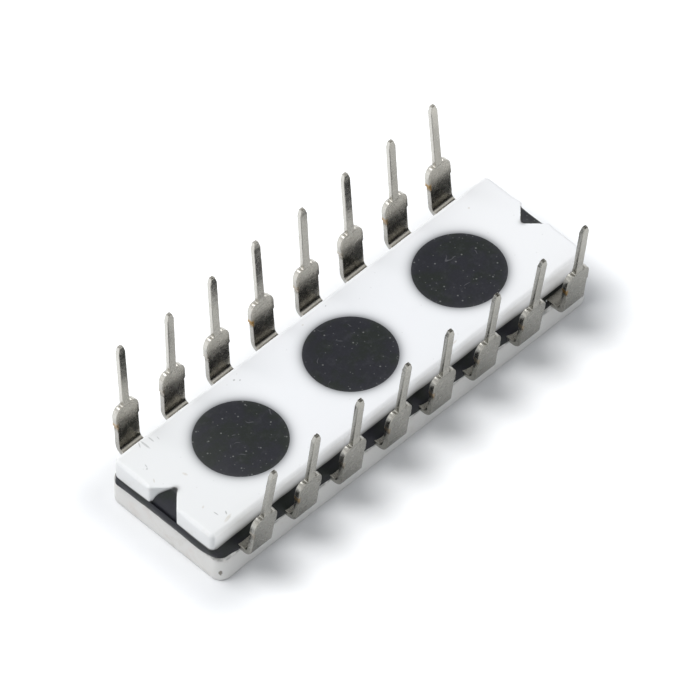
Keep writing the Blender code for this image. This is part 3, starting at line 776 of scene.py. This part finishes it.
def cover_end(plates):
    """Outline of the cover plate's +X end, from its -Y side round the notch to its +Y side.

    It runs along the side, round the corner, up the end face, round the notch's lip, down the notch's
    45 degree side and round its tip, and its other half mirrors this. With it come the outward normals
    and the rim's radius at each point.
    """
    half_x, half_y = COVER_HIGH.x, COVER_HIGH.y
    corner, tip_radius, lip = plates.cover_corner, plates.notch_tip, 0.12 * MM
    cell_x = plates.window_spacing * WINDOW_COUNT / 2
    slope = np.array([1.0, 1.0]) * math.sqrt(0.5)
    tip_center = np.array([half_x - plates.notch_depth + tip_radius, 0.0])
    tip_start = tip_center - slope * tip_radius
    lip_x = half_x - lip
    lip_center = np.array([lip_x, tip_start.sum() - lip * math.sqrt(2) - lip_x])

    corner_center = (half_x - corner, -half_y + corner)
    bend, bend_normals = arc(corner_center, corner, -QUARTER_TURN, 0.0, 10)
    lip_bend, lip_normals = arc(lip_center, lip, 0.0, QUARTER_TURN / 2, 6)
    tip_bend, tip_radii = arc(tip_center, tip_radius, 2.5 * QUARTER_TURN, 2.0 * QUARTER_TURN, 7)
    side = line((cell_x, -half_y), (half_x - corner, -half_y), 6)
    face = line((half_x, -half_y + corner), (half_x, lip_center[1]), 10)
    ramp = line(lip_center + slope * lip, tip_start, 9)
    end = np.array([[tip_center[0] - tip_radius, 0.0]])
    lower = np.concatenate([side, bend, face, lip_bend, ramp, tip_bend, end])
    normals = np.concatenate([np.tile((0.0, -1.0), (len(side), 1)), bend_normals,
                              np.tile((1.0, 0.0), (len(face), 1)), lip_normals,
                              np.tile(slope, (len(ramp), 1)), -tip_radii, [(1.0, 0.0)]])

    # The rim narrows from just before the lip to a little way down the ramp
    run = np.concatenate([[0.0], np.cumsum(np.linalg.norm(np.diff(lower, axis=0), axis=1))])
    at_lip = len(side) + len(bend) + len(face)
    knots = [0.0, run[at_lip - 2], run[at_lip + 1], run[at_lip + 6], run[at_lip + 10], run[-1]]
    rims = [plates.cover_edge] * 2 + [0.11 * MM, 0.085 * MM] + [plates.notch_edge] * 2
    edge = np.interp(run, knots, rims)
    mirror = np.array([1.0, -1.0])
    points = np.concatenate([lower, lower[-2::-1] * mirror])
    normals = np.concatenate([normals, normals[-2::-1] * mirror])
    return points, normals, np.concatenate([edge, edge[-2::-1]])


class NETWORK_OT_cover(bpy.types.Operator):
    """Build the narrow ceramic plate with its three windows and two notches"""
    bl_idname = "network.cover"
    bl_label = "Build Cover Plate"

    @staticmethod
    def epoxy_reach(plates, points, normals):
        """For each outline point: the epoxy's upper edge, the reach of the painted shade above it and its
        share of a long side, which sets the painted glow.
        """
        level = (COVER_LOW.z + epoxy_climb(points, normals)) / MM
        on_side = smooth_step(np.abs(normals[:, 1]), 0.8, 1.0)
        reach = 0.045 + 0.255 * on_side * np.where(points[:, 1] < 0, 1.0, 0.3)
        x, y = points[:, 0], points[:, 1]
        inside = np.abs(x) - (COVER_HIGH.x - plates.notch_depth)
        in_notch = (np.abs(y) < plates.notch_depth) & (inside > -0.01 * MM)
        for end, (slope, power) in NOTCH_FILLS.items():
            here = in_notch & (np.sign(x) == end)
            level[here] = notch_level(plates, inside[here], slope, power) / MM
            reach[here] = 0.075
        return np.stack([level, reach, on_side], axis=-1)

    def execute(self, context):
        plates, _, finish, _ = settings()
        base, top = COVER_LOW.z, COVER_HIGH.z
        end, end_normals, end_edge = cover_end(plates)
        spacing = plates.window_spacing
        cell_x = spacing * WINDOW_COUNT / 2
        count = SIDE_STEPS * WINDOW_COUNT
        side = line((cell_x, COVER_HIGH.y), (-cell_x, COVER_HIGH.y), count)[1:]
        up = np.tile((0.0, 1.0), (count - 1, 1))
        flat_edge = np.full(count - 1, plates.cover_edge)
        points = np.concatenate([end, side, -end, -side, end[:1]])
        normals = np.concatenate([end_normals, up, -end_normals, -up, end_normals[:1]])
        edge = np.concatenate([end_edge, flat_edge, end_edge, flat_edge, end_edge[:1]])
        edge = edge * (1 + 0.10 * ripple(points[:, 0], points[:, 1], 11, 1.9 * MM))
        edge[-1] = edge[0]
        low_edge = np.full(len(points), plates.window_edge)
        wall = plate_wall(points, normals, base, top, low_edge, edge)
        grids = [wall]

        # Each flat face is a ring of patches round each window, and a fan from the last one to each end
        size = len(end)
        for row, height in ((0, base), (-1, top)):
            border = wall[row, :, :2]
            upper = border[size - 1:size + count]
            lower = border[2 * size + count - 2:][::-1]
            rise = np.linspace(0.0, 1.0, size)[:, None]
            pairs = zip(lower[::SIDE_STEPS], upper[::SIDE_STEPS])
            seams = [low * (1 - rise) + high * rise for low, high in pairs]
            rim = plates.window_edge
            for cell in range(WINDOW_COUNT):
                across = slice(cell * SIDE_STEPS, (cell + 1) * SIDE_STEPS + 1)
                frame_loop = np.concatenate([seams[cell], upper[across][1:], seams[cell + 1][::-1][1:],
                                             lower[across][::-1][1:]])
                center = np.array([(1 - cell) * spacing, 0.0])
                away = frame_loop - center
                away /= np.linalg.norm(away, axis=1)[:, None]
                ring = center + away * (plates.window_radius + rim)
                grids.append(flat_patch(frame_loop, ring, (0.0, 0.02, 0.3, 0.6, 0.85, 0.98, 1.0), height))
                if row == 0:
                    rims = np.full(len(away), rim)
                    window = center + away * plates.window_radius
                    grids.append(plate_wall(window, -away, base, top, rims, rims))
            fan = (0.0, 0.02, 0.25, 0.5, 0.75, 1.0)
            index_end = border[size + count - 1:2 * size + count - 1]
            grids.append(flat_patch(border[:size], seams[0], fan, height))
            grids.append(flat_patch(index_end, seams[-1][::-1], fan, height))
        reach = self.epoxy_reach(plates, points, normals)
        behind = [np.tile(reach[None], (len(wall), 1, 1))]
        behind += [np.tile((base / MM - 1.0, 0.1, 0.0), (*grid.shape[:2], 1)) for grid in grids[1:]]
        attributes = {"epoxy": np.concatenate([values.reshape(-1, 3) for values in behind])}
        add_piece("cover", grids, make_cover_alumina(plates, finish), ["cover_plate"],
                  attributes)
        return {"FINISHED"}


def notch_level(plates, inside, slope, power):
    """Height of a notch's fill: z = top - rise (slope t + (1 - slope) t^power), t from tip to end face."""
    t = np.clip(inside / (plates.notch_depth - FILL_GAP), 0.0, 1.0)
    rise = COVER_HIGH.z - COVER_LOW.z
    return COVER_HIGH.z - FILL_SINK - rise * (slope * t + (1 - slope) * t ** power)


class NETWORK_OT_epoxy(bpy.types.Operator):
    """Build the cast epoxy: the seam with its fillets, the window plugs and the notch fills"""
    bl_idname = "network.epoxy"
    bl_label = "Build Epoxy"

    def execute(self, context):
        plates, leads, finish, _ = settings()
        material = make_black_epoxy(plates, finish)
        add_piece("epoxy_seam", self.seam(plates, leads), material, ["epoxy_fill"])
        for index in (-1, 0, 1):
            name = "epoxy_plug_%d" % (index + 2)
            add_piece(name, [self.plug(plates, index)], material)
        for name, end in (("index", -1), ("far", 1)):
            add_piece("epoxy_notch_" + name, [self.notch_fill(plates, end)], material)
        return {"FINISHED"}

    @staticmethod
    def seam(plates, leads):
        """The seam: from the substrate's rim up to the cover, moving in by 1 - (1 - v)^1.45 as v rises.

        It starts low on the substrate's side, climbs the cover's wall as a fillet, swells over each tang
        by sin(pi v)^2 and bulges by sin(pi v) elsewhere.
        """
        corner, skin = plates.substrate_corner, 0.006 * MM
        foot, _ = rounded_loop(SUBSTRATE_HIGH.x - skin, SUBSTRATE_HIGH.y - skin, corner)
        lip, normals = rounded_loop(COVER_HIGH.x + skin, COVER_HIGH.y + 0.020 * MM, plates.cover_corner)
        x, y = foot[:, 0], foot[:, 1]
        on_side = smooth_step(np.abs(normals[:, 1]), 0.6, 1.0)
        uneven = ripple(x, y, 21, 2.1 * MM)
        climb = epoxy_climb(lip, normals)
        from_lead = (x / leads.pitch - 0.5 - np.round(x / leads.pitch - 0.5)) * leads.pitch
        at_lead = np.exp(-(from_lead / (0.70 * MM)) ** 4) * (np.abs(x) < 4 * leads.pitch)
        swell = 0.25 * MM * on_side * at_lead * smooth_step(climb, 0.05 * MM, 0.20 * MM)
        filled = 1 - on_side * (1 - smooth_step(climb, 0.02 * MM, 0.15 * MM))
        hump = (0.050 * MM + 0.012 * MM * uneven) * filled

        # At the index end it draws back under the cover, most at the +Y corner, and rises at the -Y corner
        back_off = smooth_step(y, 1.4 * MM, 2.9 * MM) * smooth_step(-x, 8.4 * MM, 9.9 * MM)
        rise = smooth_step(-y, 2.0 * MM, 3.0 * MM) * smooth_step(-x, 9.6 * MM, 10.3 * MM)
        end = smooth_step(-normals[:, 0], 0.5, 1.0) * (x < 0) * smooth_step(np.abs(y), 0.9 * MM, 1.6 * MM)
        back_off = np.maximum(back_off, 0.45 * end)
        climb = climb * (1 - 0.9 * back_off)
        hump = hump * (1 - back_off)
        inner = lip + normals * (0.02 * MM)
        foot = foot + (inner - foot) * back_off[:, None] - normals * (0.07 * MM * rise)[:, None]

        v = np.linspace(0.0, 1.0, 17)[:, None]
        inward = (1 - (1 - v) ** 1.45)[..., None]
        base = SUBSTRATE_HIGH.z - 0.13 * MM + 0.09 * MM * rise + 0.12 * MM * back_off
        flat = foot[None] * (1 - inward) + lip[None] * inward
        wave = np.sin(math.pi * v)
        flat = flat + normals[None] * (wave * hump[None] + wave ** 2 * swell[None])[..., None]
        height = base[None] + v * (COVER_LOW.z + climb - base)[None]
        side = lifted(flat, height)

        # Behind the lip it drops down the cover's wall, and below it follows the substrate's rim inwards
        back = lip - normals * (0.022 * MM)
        level = np.full(len(x), COVER_LOW.z)
        drop = lifted(np.stack([lip, back, back]), np.stack([height[-1], height[-1], level]))
        edge = plates.substrate_edge
        shelf, _ = rounded_loop(SUBSTRATE_HIGH.x - edge, SUBSTRATE_HIGH.y - edge, corner - edge)
        shelf = shelf + (lip - normals * (0.06 * MM) - shelf) * back_off[:, None]
        under = lifted(np.stack([foot, shelf]), np.stack([base, np.full(len(x), SUBSTRATE_HIGH.z)]))
        grids = [side, drop, under]
        for border, z in ((shelf, SUBSTRATE_HIGH.z), (back, COVER_LOW.z)):
            grids.append(flat_patch(border, middle_line(border), (0.0, 0.5, 1.0), z))
        return grids

    @staticmethod
    def plug(plates, index):
        """A window plug turned about its axis: its top is dished by 0.022 (1 - r^4) mm, with ripples."""
        center = index * plates.window_spacing
        radius = plates.window_radius
        angle = np.linspace(0.0, 2 * math.pi, 145)
        inner = radius * np.array([0.995, 0.985, 0.965, 0.94, 0.90, 0.84, 0.76, 0.66, 0.55, 0.43, 0.30, 0.17,
                                   0.07, 0.0])
        wall = radius - 0.004 * MM
        rings = np.concatenate([[0.0, wall, wall, radius + 0.018 * MM], inner])
        top = COVER_HIGH.z
        share_in = inner / radius
        dish = top - FILL_SINK - 0.022 * MM * (1 - share_in ** 4)
        heights = np.concatenate([[COVER_LOW.z, COVER_LOW.z, top - 0.05 * MM, top - 0.010 * MM], dish])
        x = center + rings[:, None] * np.cos(angle)[None]
        y = rings[:, None] * np.sin(angle)[None]
        z = np.repeat(heights[:, None], len(angle), axis=1)
        calm = smooth_step(radius - rings, 0.0, 0.25 * MM)[:, None] * (np.arange(len(rings)) > 3)[:, None]
        z += calm * 0.003 * MM * ripple(x, y, 31 + index, 0.8 * MM)
        return np.stack([x, y, z], axis=-1)

    @staticmethod
    def notch_fill(plates, end):
        """A notch's fill: stations along X, each a level top that clings to the notch's sides."""
        tip_radius = plates.notch_tip
        tip_x = COVER_HIGH.x - plates.notch_depth
        t = np.linspace(0.0, 1.0, 26) ** 0.85
        gap = 0.004 * MM
        inside = gap + (plates.notch_depth - FILL_GAP - gap) * t
        x = tip_x + inside
        tangent = tip_radius * (1 - math.cos(QUARTER_TURN / 2))
        chord = np.sqrt(np.maximum(tip_radius ** 2 - (tip_radius - np.minimum(inside, tangent)) ** 2, 0.0))
        half = chord + np.maximum(inside - tangent, 0.0)
        top = notch_level(plates, inside, *NOTCH_FILLS[end])
        across = np.concatenate([[-1.0], np.linspace(-1.0, 1.0, 17), [1.0], [-1.0]])
        level = np.concatenate([[0.0], np.ones(17), [0.0], [0.0]])
        sag = (1 - across ** 4) * level * 0.07 * MM
        y = half[:, None] * across[None]
        low = COVER_LOW.z - 0.10 * MM
        z = low + (top - low)[:, None] * level[None] - sag[None] * np.sin(math.pi * t)[:, None]
        z += 0.004 * MM * level[None] * ripple(np.repeat(x[:, None], len(across), 1), y, 41 + end, 0.5 * MM)
        ring = np.stack([end * np.repeat(x[:, None], len(across), 1), end * y, z], axis=-1)
        first, last = ring[:1].mean(axis=1, keepdims=True), ring[-1:].mean(axis=1, keepdims=True)
        wide = np.ones((1, len(across), 1))
        return np.concatenate([first * wide, ring, last * wide])


def lead_outline(leads, reach):
    """The flat lead's right-hand outline: half width against the distance along the strip.

    It is the tang with its tapered end, the step that the sheared bar left, the shoulder with its oval
    corner, the dip and the fillet at the pin's root, the pin and its tapered tip.
    """
    tang, bend = TANG_LENGTH * MM, BEND_LENGTH * MM
    foot = tang + bend
    top = foot + leads.shoulder_length
    step = top - leads.bar_drop
    end = foot + reach
    half_tang, half_shoulder, half_pin = leads.tang_width / 2, leads.shoulder_width / 2, leads.pin_width / 2
    wide, high = leads.corner_width, leads.corner_height
    turn = np.linspace(0.0, math.radians(84.0), 14)
    corner = np.stack([half_shoulder - wide * (1 - np.cos(turn)), top - high * (1 - np.sin(turn))], axis=-1)
    dip, root = 0.030 * MM, 0.050 * MM
    sink = np.linspace(0.0, 1.0, 8)[1:-1]
    crest = corner[-1]
    low = half_pin + root
    sag = dip * sink * sink * (3 - 2 * sink)
    slide = np.stack([crest[0] + (low - crest[0]) * sink, crest[1] - sag], axis=-1)
    root_bend, _ = arc((low, crest[1] - dip + root), root, 3 * QUARTER_TURN, 2 * QUARTER_TURN, 8)
    torn = 0.010 * MM
    pieces = [
        line((0.45 * MM, 0.0), (half_tang, 0.30 * MM), 4),
        line((half_tang, 0.30 * MM), (half_tang, tang), 10),
        line((half_tang, tang), (half_tang, foot), 14),
        line((half_tang, foot), (half_tang, step - 0.03 * MM), 16),
        line((half_tang, step - 0.03 * MM), (half_shoulder + torn, step + 0.04 * MM), 4),
        line((half_shoulder + torn, step + 0.04 * MM), (half_shoulder, step + 0.18 * MM), 4),
        line((half_shoulder, step + 0.18 * MM), corner[0], 6),
        corner, slide, root_bend,
        line((half_pin, crest[1] - dip + root), (half_pin, end - leads.tip_length), 40),
        line((half_pin, end - leads.tip_length), (leads.tip_width / 2, end), 8),
        np.array([[leads.tip_width / 2, end]]),
    ]
    return np.concatenate(pieces), tang, foot, end


class NETWORK_OT_leads(bpy.types.Operator):
    """Build the sixteen stamped, bent and tinned leads"""
    bl_idname = "network.leads"
    bl_label = "Build Leads"

    def execute(self, context):
        _, leads, finish, _ = settings()
        material = make_tin(finish)
        middle = (ROW_COUNT - 1) / 2
        rows = ((1, SPLAY_PLUS_Y_ROW, REACH_PLUS_Y_ROW, TARNISH_PLUS_Y_ROW),
                (-1, SPLAY_MINUS_Y_ROW, REACH_MINUS_Y_ROW, TARNISH_MINUS_Y_ROW))
        for place in range(ROW_COUNT):
            x = (place - middle) * leads.pitch
            for side, *row in rows:
                number = place + 1 if side > 0 else LEAD_COUNT - place
                splay, reach, tarnish = (values[place] for values in row)
                self.build(leads, number, x, side, splay, reach * MM, tarnish, material)
        return {"FINISHED"}

    @staticmethod
    def build(leads, number, x, side, splay, reach, tarnish, material):
        """One lead: the flat outline swept through its thickness, then carried along the bent middle line.

        Across the strip a section is a rectangle with rolled corners. Along it the middle line runs out
        flat, turns by a right angle less the splay with an even radius, and rises straight.
        """
        outline, tang, foot, end = lead_outline(leads, reach)
        width, along = outline[:, 0], outline[:, 1]
        run = np.gradient(outline, axis=0)
        run /= np.linalg.norm(run, axis=1)[:, None]
        out_w, out_d = run[:, 1], -run[:, 0]
        out_d[0] = out_d[-1] = 0.0
        root = foot + leads.shoulder_length
        places = [0.0, root + 0.08 * MM, root + 0.38 * MM, end - leads.tip_length, end]
        steps = [leads.thickness] * 2 + [leads.pin_thickness] * 2 + [leads.tip_thickness]
        thickness = np.interp(along, places, steps)
        edge = np.minimum(leads.edge, thickness * 0.16)

        # Ring of a section: the right edge, the inner face, the left edge and the outer face
        t = np.linspace(0.0, QUARTER_TURN, 5)
        inset, drop = 1 - np.cos(t), 1 - np.sin(t)
        across = np.linspace(1.0, -1.0, 11)[1:-1]
        none, one = np.zeros_like, np.ones_like

        def ring(start, mirror, *half):
            """Values round a section: its start, one half, and the same again times mirror."""
            half = np.concatenate([[start], *half])
            return np.concatenate([half, half * mirror, [start]])

        ring_inset = ring(0.0, 1, inset, one(across), inset[::-1])
        ring_drop = ring(1.0, 1, drop, none(across), drop[::-1])
        ring_side = ring(1.0, -1, one(t), across, -one(t))
        ring_face = ring(0.0, -1, one(t), one(across), one(t))

        def sections(width, along, out_w, out_d, thickness, edge, squeeze):
            """Rings of points in the flat strip: across, along and through it."""
            width, along, out_w, out_d, thickness, edge, squeeze = (
                value[:, None] for value in (width, along, out_w, out_d, thickness, edge, squeeze))
            u = (width - out_w * edge * ring_inset - squeeze) * ring_side
            d = along - out_d * edge * ring_inset + 0 * u
            n = (thickness / 2 - edge * ring_drop - squeeze) * ring_face
            return u, d, n

        # The two ends are rounded off by rings that shrink as they go out
        turn = np.linspace(0.0, QUARTER_TURN, 5)[1:]
        parts = [sections(width, along, out_w, out_d, thickness, edge, none(width))]
        for at, sign in ((0, -1), (-1, 1)):
            count = one(turn)
            roll = 0.012 * MM
            rings = sections(width[at] * count, along[at] + sign * roll * (np.sin(turn) - 1), count,
                             0 * count, thickness[at] * count, edge[at] * count, roll * (1 - np.cos(turn)))
            if at == 0:
                parts.insert(0, tuple(value[::-1] for value in rings))
            else:
                parts.append(rings)
        parts[1] = tuple(value[1:-1] for value in parts[1])
        u, d, n = (np.concatenate(values) for values in zip(*parts))
        u = np.concatenate([0 * u[:1], u, 0 * u[:1]])
        n = np.concatenate([0 * n[:1], n, 0 * n[:1]])
        d = np.concatenate([d[:1], d, d[-1:]])

        # Dents and waves of the handled strip, kept off its ends
        seed = 100 * number
        calm = smooth_step(d, 0.05 * MM, 0.4 * MM) * smooth_step(end - d, 0.02 * MM, 0.2 * MM)
        broad = ripple(u, d, seed, 0.9 * MM)
        small = ripple(u, d + (n > 0) * 5 * MM, seed + 1, 0.34 * MM)
        n = n + calm * leads.dent * (broad + 0.4 * small * np.sign(n))
        u = u + calm * 0.5 * leads.dent * np.sign(u) * ripple(d, n, seed + 2, 0.5 * MM)

        radius = BEND_RADIUS + leads.thickness / 2
        full = QUARTER_TURN - math.radians(splay)
        angle = np.clip((d - tang) / (foot - tang), 0.0, 1.0) * full
        before = np.minimum(d, tang)
        after = np.maximum(d - foot, 0.0)
        start_y = SUBSTRATE_HIGH.y - TANG_INSIDE
        middle_z = SUBSTRATE_HIGH.z + TANG_LIFT + leads.thickness / 2
        y = start_y + before + radius * np.sin(angle) + after * math.cos(full) - n * np.sin(angle)
        z = middle_z + radius * (1 - np.cos(angle)) + after * math.sin(full) + n * np.cos(angle)
        grid = np.stack([x + side * u, side * y, z], axis=-1)
        cut = 0 * u + ring_drop[None]
        state = np.stack([np.full_like(u, tarnish), cut, (d - root) / MM], axis=-1)
        attributes = {"strip": np.stack([u, d, n], axis=-1) / MM, "state": state}
        node = "lead_%02d" % number
        add_piece("tinned_" + node, [grid], material, [node], attributes)


class NETWORK_OT_inner(bpy.types.Operator):
    """Finish the films, pads and solder that the plates and the epoxy enclose"""
    bl_idname = "network.inner"
    bl_label = "Finish Inner Prints"

    def execute(self, context):
        finishes = {start: make_inner_finish(*values) for start, values in INNER_FINISHES.items()}
        for name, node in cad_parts.items():
            for start, material in finishes.items():
                if name.startswith(start):
                    node.material_slots[0].material = material
        return {"FINISHED"}


class NETWORK_OT_stage(bpy.types.Operator):
    """Set up the pale floor, the soft light and the camera"""
    bl_idname = "network.stage"
    bl_label = "Set Stage"

    def execute(self, context):
        stage = settings()[3]
        self.floor(stage.floor_glow, stage.mirror_glow)
        self.room(stage.sky)
        self.soft_box("key_box", Vector((-0.28, 0.34, 0.88)), 390 * MM, 230 * MM, stage.key)
        self.camera(stage)
        context.scene.view_settings.view_transform = "Standard"
        return {"FINISHED"}

    @staticmethod
    def floor(glow, mirror_glow):
        """A wide pale floor under the part, lighter to the camera and, beyond the part, to metal."""
        reach = 1.5
        corners = [(-reach, -reach, 0.0), (reach, -reach, 0.0), (reach, reach, 0.0), (-reach, reach, 0.0)]
        mesh = bpy.data.meshes.new("floor")
        mesh.from_pydata(corners, [], [(0, 1, 2, 3)])
        board = Board("pale_floor")
        tint = board.mix(board.noise(0.05, 2.0), (0.715, 0.722, 0.735), (0.73, 0.735, 0.745))
        matt = board.node("ShaderNodeBsdfDiffuse", {}, {"Color": tint})[0]
        rays = board.node("ShaderNodeLightPath")
        # Painted light: an emission that grows with the distance from the part lightens the floor beyond it
        # to the camera and, further out, to metal
        off_x = (board.x.size() - SUBSTRATE_HIGH.x / MM).math("MAXIMUM", 0.0)
        off_y = (board.y.size() - SUBSTRATE_HIGH.y / MM).math("MAXIMUM", 0.0)
        away = off_x.across(off_y)
        beyond, far = away.step(0.2, 3.4), away.step(1.8, 3.6)
        seen = rays["Is Camera Ray"] * (beyond * glow + 0.06)
        strength = seen + rays["Is Glossy Ray"] * far * mirror_glow
        light = board.node("ShaderNodeEmission", {}, {"Color": (1.0,) * 4, "Strength": strength})[0]
        lighter = board.node("ShaderNodeAddShader", {}, {0: matt, 1: light})[0]
        board.node("ShaderNodeOutputMaterial", {}, {"Surface": lighter})
        mesh.materials.append(board.material)
        add_object("floor", mesh)

    @staticmethod
    def room(sky):
        """Even light from all round, white to the camera.

        Metal sees white walls, a dark patch of ceiling and the soft box as a small round light.
        """
        board = Board("white_room", worlds=True)
        direction = board.node("ShaderNodeTexCoord")["Generated"]
        _, _, up = board.split(direction)
        near = board.dot(direction, BOX_DIRECTION).step(0.972, 0.992)
        dark = board.dot(direction, DARK_DIRECTION).step(0.925, 0.985)
        seen = up.step(0.20, 0.55, 1.40, 0.95) - dark * 0.90 + near * 3.4
        white, bluish = (1.0,) * 4, (0.93, 0.965, 1.0, 1.0)
        light, plain, mirrored = (
            board.node("ShaderNodeBackground", {}, {"Color": tint, "Strength": strength})[0]
            for tint, strength in ((bluish, sky), (white, 1.0), (white, seen)))
        rays = board.node("ShaderNodeLightPath")
        first = board.node("ShaderNodeMixShader", {}, {0: rays["Is Glossy Ray"], 1: light, 2: mirrored})[0]
        second = board.node("ShaderNodeMixShader", {}, {0: rays["Is Camera Ray"], 1: first, 2: plain})[0]
        board.node("ShaderNodeOutputWorld", {}, {"Surface": second})
        bpy.context.scene.world = board.material

    @staticmethod
    def soft_box(name, direction, distance, size, light):
        """A square soft box; light is what a white surface facing it gains."""
        lamp = bpy.data.lights.new(name, "AREA")
        lamp.shape = "SQUARE"
        lamp.size = size
        lamp.energy = light * math.pi ** 2 * distance ** 2
        holder = add_object(name, lamp)
        direction = direction.normalized()
        holder.location = direction * distance
        holder.rotation_euler = direction.to_track_quat("Z", "Y").to_euler()
        holder.visible_glossy = False

    @staticmethod
    def camera(stage):
        """The photograph's long lens from above the index end and the row of leads 9 to 16."""
        azimuth, elevation, roll = (math.radians(a) for a in (stage.azimuth, stage.elevation, -0.085))
        back = Vector((math.cos(elevation) * math.cos(azimuth), math.cos(elevation) * math.sin(azimuth),
                       math.sin(elevation)))
        target = Vector((0.580, 0.628, 2.0)) * MM
        right = (-back).cross(Vector((0, 0, 1))).normalized()
        up = right.cross(-back)
        level_right = right * math.cos(roll) + up * math.sin(roll)
        level_up = up * math.cos(roll) - right * math.sin(roll)
        data = bpy.data.cameras.new("camera")
        data.lens = stage.lens
        data.sensor_width = 36.0
        data.clip_start = 0.01
        data.clip_end = 10.0
        camera = add_object("camera", data)
        matrix = Matrix((level_right, level_up, back)).transposed().to_4x4()
        matrix.translation = target + back * stage.distance
        camera.matrix_world = matrix
        bpy.context.scene.camera = camera


STEPS = (NETWORK_OT_stage, NETWORK_OT_substrate, NETWORK_OT_cover, NETWORK_OT_epoxy, NETWORK_OT_leads,
         NETWORK_OT_inner)


class NETWORK_PT_panel(bpy.types.Panel):
    """Buttons and settings for each step"""
    bl_idname = "NETWORK_PT_panel"
    bl_label = "Resistor Network"
    bl_space_type = "VIEW_3D"
    bl_region_type = "UI"
    bl_category = "Network"

    def draw(self, context):
        layout = self.layout
        for step in STEPS:
            layout.operator(step.bl_idname)
        for group in settings():
            box = layout.box()
            for name in group.bl_rna.properties.keys():
                if name not in ("rna_type", "name"):
                    box.prop(group, name)


GROUPS = (("network_plates", PlateSizes), ("network_leads", LeadSizes), ("network_finish", FinishSettings),
          ("network_stage", StageSettings))


def register():
    """Register the settings, the steps and the panel."""
    for name, group in GROUPS:
        bpy.utils.register_class(group)
        setattr(bpy.types.Scene, name, bpy.props.PointerProperty(type=group))
    for step in (*STEPS, NETWORK_PT_panel):
        bpy.utils.register_class(step)


def unregister():
    """Take everything that register added away again."""
    for step in (NETWORK_PT_panel, *reversed(STEPS)):
        bpy.utils.unregister_class(step)
    for name, group in reversed(GROUPS):
        delattr(bpy.types.Scene, name)
        bpy.utils.unregister_class(group)


def main():
    """Run every step in order."""
    register()
    bpy.ops.network.stage()
    bpy.ops.network.substrate()
    bpy.ops.network.cover()
    bpy.ops.network.epoxy()
    bpy.ops.network.leads()
    bpy.ops.network.inner()


if __name__ == "__main__":
    main()
